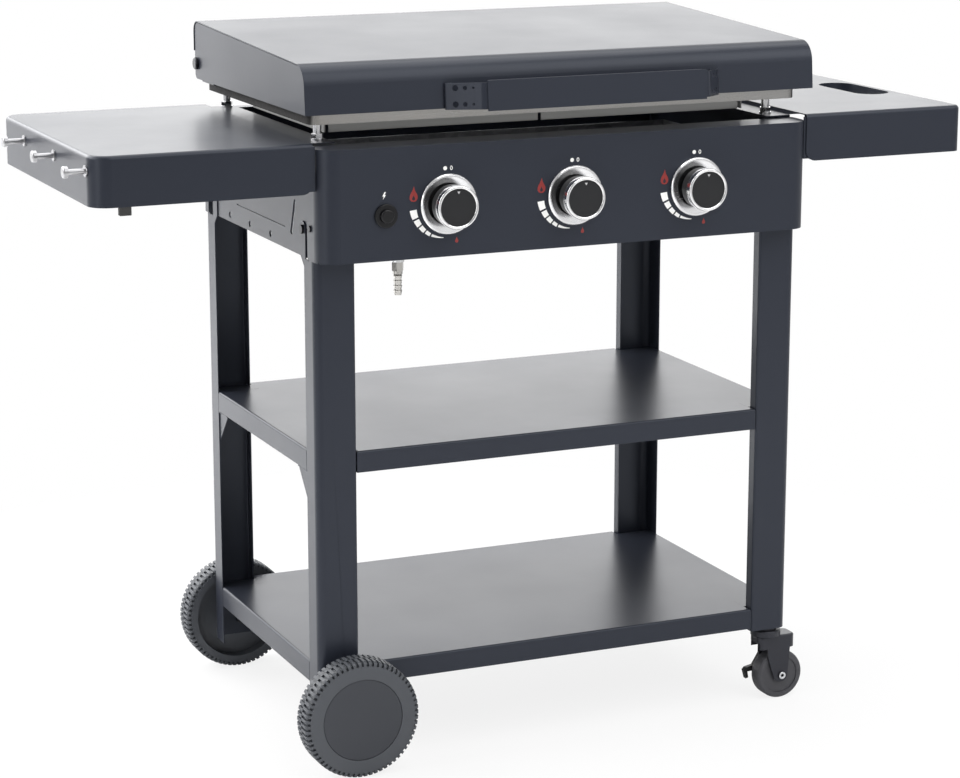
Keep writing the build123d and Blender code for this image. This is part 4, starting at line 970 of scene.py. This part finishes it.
    def pointer(self, name: str) -> None:
        """Set the pointed tab inside the top of a knob's ring.

        Args:
            name: The knob's name.
        """
        low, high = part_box(f"{name}_knob")
        ring_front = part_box(f"{name}_knob_ring")[0][1]
        centre = middle(f"{name}_knob")
        face = low[1]
        proud = (face - ring_front) * self.pointer_rise
        top = (high[2] - low[2]) / 2 / MM - self.pointer_inset
        half = self.pointer_half_width
        mesh = bmesh.new()
        outline = ((-half, top), (0.0, top - self.pointer_length), (half, top))
        prism(mesh, outline, lambda u, v, forward: Vector(
            (centre.x + u * MM, face - forward, centre.z + v * MM)), proud)
        new_piece(f"{name}_knob_pointer", finish_mesh(mesh, f"{name}_knob_pointer"), CHROME, f"{name}_knob")


@dataclass
class Griddle:
    """The pan, its feet and its lid."""

    edge: float = 0.0006

    def build(self) -> None:
        """Dress the pan, the feet, the lid and its hinge."""
        dress(("griddle_plate",), PLATE, self.edge)
        dress(("griddle_feet",), CHROME, self.edge)
        dress(("lid_shell", "lid_ends", "lid_handle"), COAT, self.edge)
        dress(("hinge_brackets",), COAT, self.edge)
        dress(("hinge_bolts",), HARDWARE, self.edge)


@dataclass
class SideTables:
    """Folding tables with their hooks and brackets."""

    edge: float = 0.0005

    def build(self) -> None:
        """Dress the tables and their fittings."""
        dress(("left_table", "right_table", "table_brackets"), COAT, self.edge)
        dress(("tool_hooks",), HOOK)
        dress(("table_bumper",), RUBBER, self.edge)


@dataclass
class RunningGear:
    """Big wheels on the left and castors on the right."""

    edge: float = 0.0004
    axle_seat: float = 0.0060
    axle_bore: float = 0.0022
    axle_rim: float = 0.0048
    rim_wall: float = 0.0002
    rim_height: float = 0.0006
    rim_rounding: Point2 = (0.0006, 0.0004)
    rim_steps: int = 32

    def build(self) -> None:
        """Dress the wheels and castors."""
        for end in ("front", "rear"):
            dress((f"{end}_wheel",), WHEEL, self.edge)
            dress((f"{end}_wheel_cap",), CAP, self.edge)
            dress((f"{end}_caster_fork",), FORK_COAT, self.edge)
            dress((f"{end}_caster_wheel",), CASTOR_TREAD)
            dress((f"{end}_caster_brake",), PEDAL, self.edge)
            self.axle_ring(end)
        dress(("caster_stems",), FORK_COAT)
        dress(("wheel_axle_bolts",), ZINC)
        dress(("wheel_axle_nuts",), HARDWARE)

    def axle_ring(self, end: str) -> None:
        """Set the bright rolled rims on both ends of a castor's hollow axle.

        Args:
            end: Which castor, front or rear.
        """
        hub = middle(f"{end}_caster_wheel")
        low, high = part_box(f"{end}_caster_wheel")
        seat = (high[1] - low[1]) / 2 + self.axle_seat
        wall, crown = seat + self.rim_wall, seat + self.rim_height
        profile = ((self.axle_bore, seat), (self.axle_rim, seat), (self.axle_rim, wall),
                   (self.axle_rim - self.rim_rounding[0], crown),
                   (self.axle_bore + self.rim_rounding[1], crown), (self.axle_bore, wall))
        mesh = bmesh.new()
        for side in (-1.0, 1.0):
            rings = []
            for turn in range(self.rim_steps):
                angle = turn * math.tau / self.rim_steps
                rings.append([mesh.verts.new((hub.x + reach * math.cos(angle), hub.y + side * out,
                                              hub.z + reach * math.sin(angle))) for reach, out in profile])
            for turn in range(self.rim_steps):
                first, second = rings[turn], rings[(turn + 1) % self.rim_steps]
                for step in range(len(profile)):
                    after = (step + 1) % len(profile)
                    mesh.faces.new((first[step], first[after], second[after], second[step]))
        name = f"{end}_caster_axle_rims"
        new_piece(name, finish_mesh(mesh, name), ZINC, f"{end}_caster")


@dataclass(frozen=True)
class Softbox:
    """A rectangular soft lamp."""

    name: str
    place: tuple[float, float, float]
    aim: tuple[float, float, float]
    size: Point2
    power: float

    def build(self) -> None:
        """Hang the lamp and point it."""
        data = bpy.data.lights.new(self.name, "AREA")
        data.shape = "RECTANGLE"
        data.size, data.size_y = self.size
        data.energy = self.power
        lamp = bpy.data.objects.new(self.name, data)
        lamp.location = self.place
        direction = Vector(self.aim) - Vector(self.place)
        lamp.rotation_euler = direction.to_track_quat("-Z", "Y").to_euler()
        lamp.visible_camera = False
        bpy.context.scene.collection.objects.link(lamp)


@dataclass
class Studio:
    """Camera, floor and light."""

    camera_from_cart: tuple[float, float, float] = (-1.47145, -3.30383, 1.25244)
    yaw: float = 23.669
    pitch: float = -13.068
    lens: float = 105.07
    sensor: float = 36.0
    sight: float = 100.0
    floor_size: float = 30.0
    floor_fade: Point2 = (0.45, 1.2)
    floor_white: Point2 = (0.84, 1.0)
    floor_tone: float = 0.86
    floor_matt: float = 0.9
    floor_sheen: float = 0.1
    room_fill: float = 0.5
    front_level: float = 0.35
    front_range: Point2 = (-0.8, 0.2)
    lamps: tuple[Softbox, ...] = (
        Softbox("key_softbox", (-3.3, 0.5, 2.8), (-0.1, 0.0, 0.7), (2.4, 2.4), 68.0),
        Softbox("top_softbox", (0.4, 0.6, 3.6), (0.0, 0.0, 0.6), (3.0, 3.0), 55.0),
        Softbox("front_fill", (2.2, -3.9, 1.6), (0.3, 0.0, 0.5), (2.4, 2.4), 12.0),
        Softbox("left_front_fill", (-3.2, -1.4, 1.0), (0.0, 0.0, 0.6), (1.2, 1.6), 12.0),
        Softbox("back_softbox", (0.3, 4.8, 1.3), (0.0, 0.0, 0.7), (7.0, 2.5), 100.0),
        Softbox("left_floor_light", (-1.5, 2.1, 1.6), (-1.5, 2.1, 0.0), (2.0, 3.6), 95.0),
        Softbox("front_floor_light", (0.7, -1.6, 1.8), (0.7, -1.6, 0.0), (2.0, 2.0), 33.0),
    )

    def build(self) -> None:
        """Set up the camera, the floor, the world and the lamps."""
        self.camera()
        self.floor()
        self.world()
        for lamp in self.lamps:
            lamp.build()
        bpy.context.scene.view_settings.view_transform = "Standard"

    def camera(self) -> None:
        """Add the camera at the photograph's view."""
        data = bpy.data.cameras.new("view_camera")
        data.lens = self.lens
        data.sensor_width = self.sensor
        data.clip_end = self.sight
        rig = bpy.data.objects.new("view_camera", data)
        rig.location = self.cart_middle() + Vector(self.camera_from_cart)
        rig.rotation_euler = Euler((math.radians(90 + self.pitch), 0.0, math.radians(-self.yaw)), "XYZ")
        bpy.context.scene.collection.objects.link(rig)
        bpy.context.scene.camera = rig

    def cart_middle(self) -> Vector:
        """Give the point on the floor midway between the outer faces of the four legs."""
        low = Vector(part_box("front_left_leg")[0])
        high = Vector(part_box("rear_right_leg")[1])
        return Vector(((low.x + high.x) / 2, (low.y + high.y) / 2, 0.0))

    def floor(self) -> None:
        """Lay a plain pale floor that keeps the shadow and fades to white for the camera."""
        mesh = bmesh.new()
        bmesh.ops.create_grid(mesh, x_segments=1, y_segments=1, size=self.floor_size / 2)
        floor = bpy.data.objects.new("studio_floor", finish_mesh(mesh, "studio_floor"))
        bpy.context.scene.collection.objects.link(floor)
        paint = bpy.data.materials.new("floor_paint")
        paint.use_nodes = True
        shader = paint.node_tree.nodes["Principled BSDF"]
        shader.inputs["Base Color"].default_value = (*[self.floor_tone] * 3, 1.0)
        shader.inputs["Roughness"].default_value = self.floor_matt
        shader.inputs["Specular IOR Level"].default_value = self.floor_sheen
        tree = paint.node_tree
        reach = tree.nodes.new("ShaderNodeVectorMath")
        reach.operation = "LENGTH"
        link(tree, object_coordinates(tree), reach.inputs[0])
        fade = map_range(tree, reach.outputs["Value"], self.floor_fade, self.floor_white)
        paths = tree.nodes.new("ShaderNodeLightPath")
        seen = math_node(tree, "MULTIPLY", paths.outputs["Is Camera Ray"], fade)
        glow = tree.nodes.new("ShaderNodeEmission")
        both = tree.nodes.new("ShaderNodeMixShader")
        link(tree, seen, both.inputs["Fac"])
        link(tree, shader.outputs["BSDF"], both.inputs[1])
        link(tree, glow.outputs["Emission"], both.inputs[2])
        link(tree, both.outputs["Shader"], tree.nodes["Material Output"].inputs["Surface"])
        floor.data.materials.append(paint)

    def world(self) -> None:
        """Light the room, dimmer on the viewer's side, and show the camera a white backdrop."""
        world = bpy.data.worlds.new("studio_world")
        bpy.context.scene.world = world
        world.use_nodes = True
        tree = world.node_tree
        shade = tree.nodes["Background"]
        shade.inputs["Color"].default_value = (1.0, 1.0, 1.0, 1.0)
        parts = tree.nodes.new("ShaderNodeSeparateXYZ")
        link(tree, tree.nodes.new("ShaderNodeTexCoord").outputs["Generated"], parts.inputs[0])
        room = map_range(tree, parts.outputs["Y"], self.front_range, (self.front_level, 1.0))
        paths = tree.nodes.new("ShaderNodeLightPath")
        glossy = map_range(tree, paths.outputs["Is Glossy Ray"], UNIT, (self.room_fill, room))
        seen = math_node(tree, "MAXIMUM", paths.outputs["Is Camera Ray"],
                         paths.outputs["Is Transmission Ray"])
        link(tree, map_range(tree, seen, UNIT, (glossy, 1.0)), shade.inputs["Strength"])


def main() -> None:
    """Build and dress the sub-assemblies in order."""
    logging.basicConfig(level=logging.INFO)
    for assembly in (CartFrame(), BurnerBox(), Controls(), Griddle(), SideTables(), RunningGear(),
                     Studio()):
        assembly.build()
        LOG.info("finished %s", type(assembly).__name__)


if __name__ == "__main__":
    main()
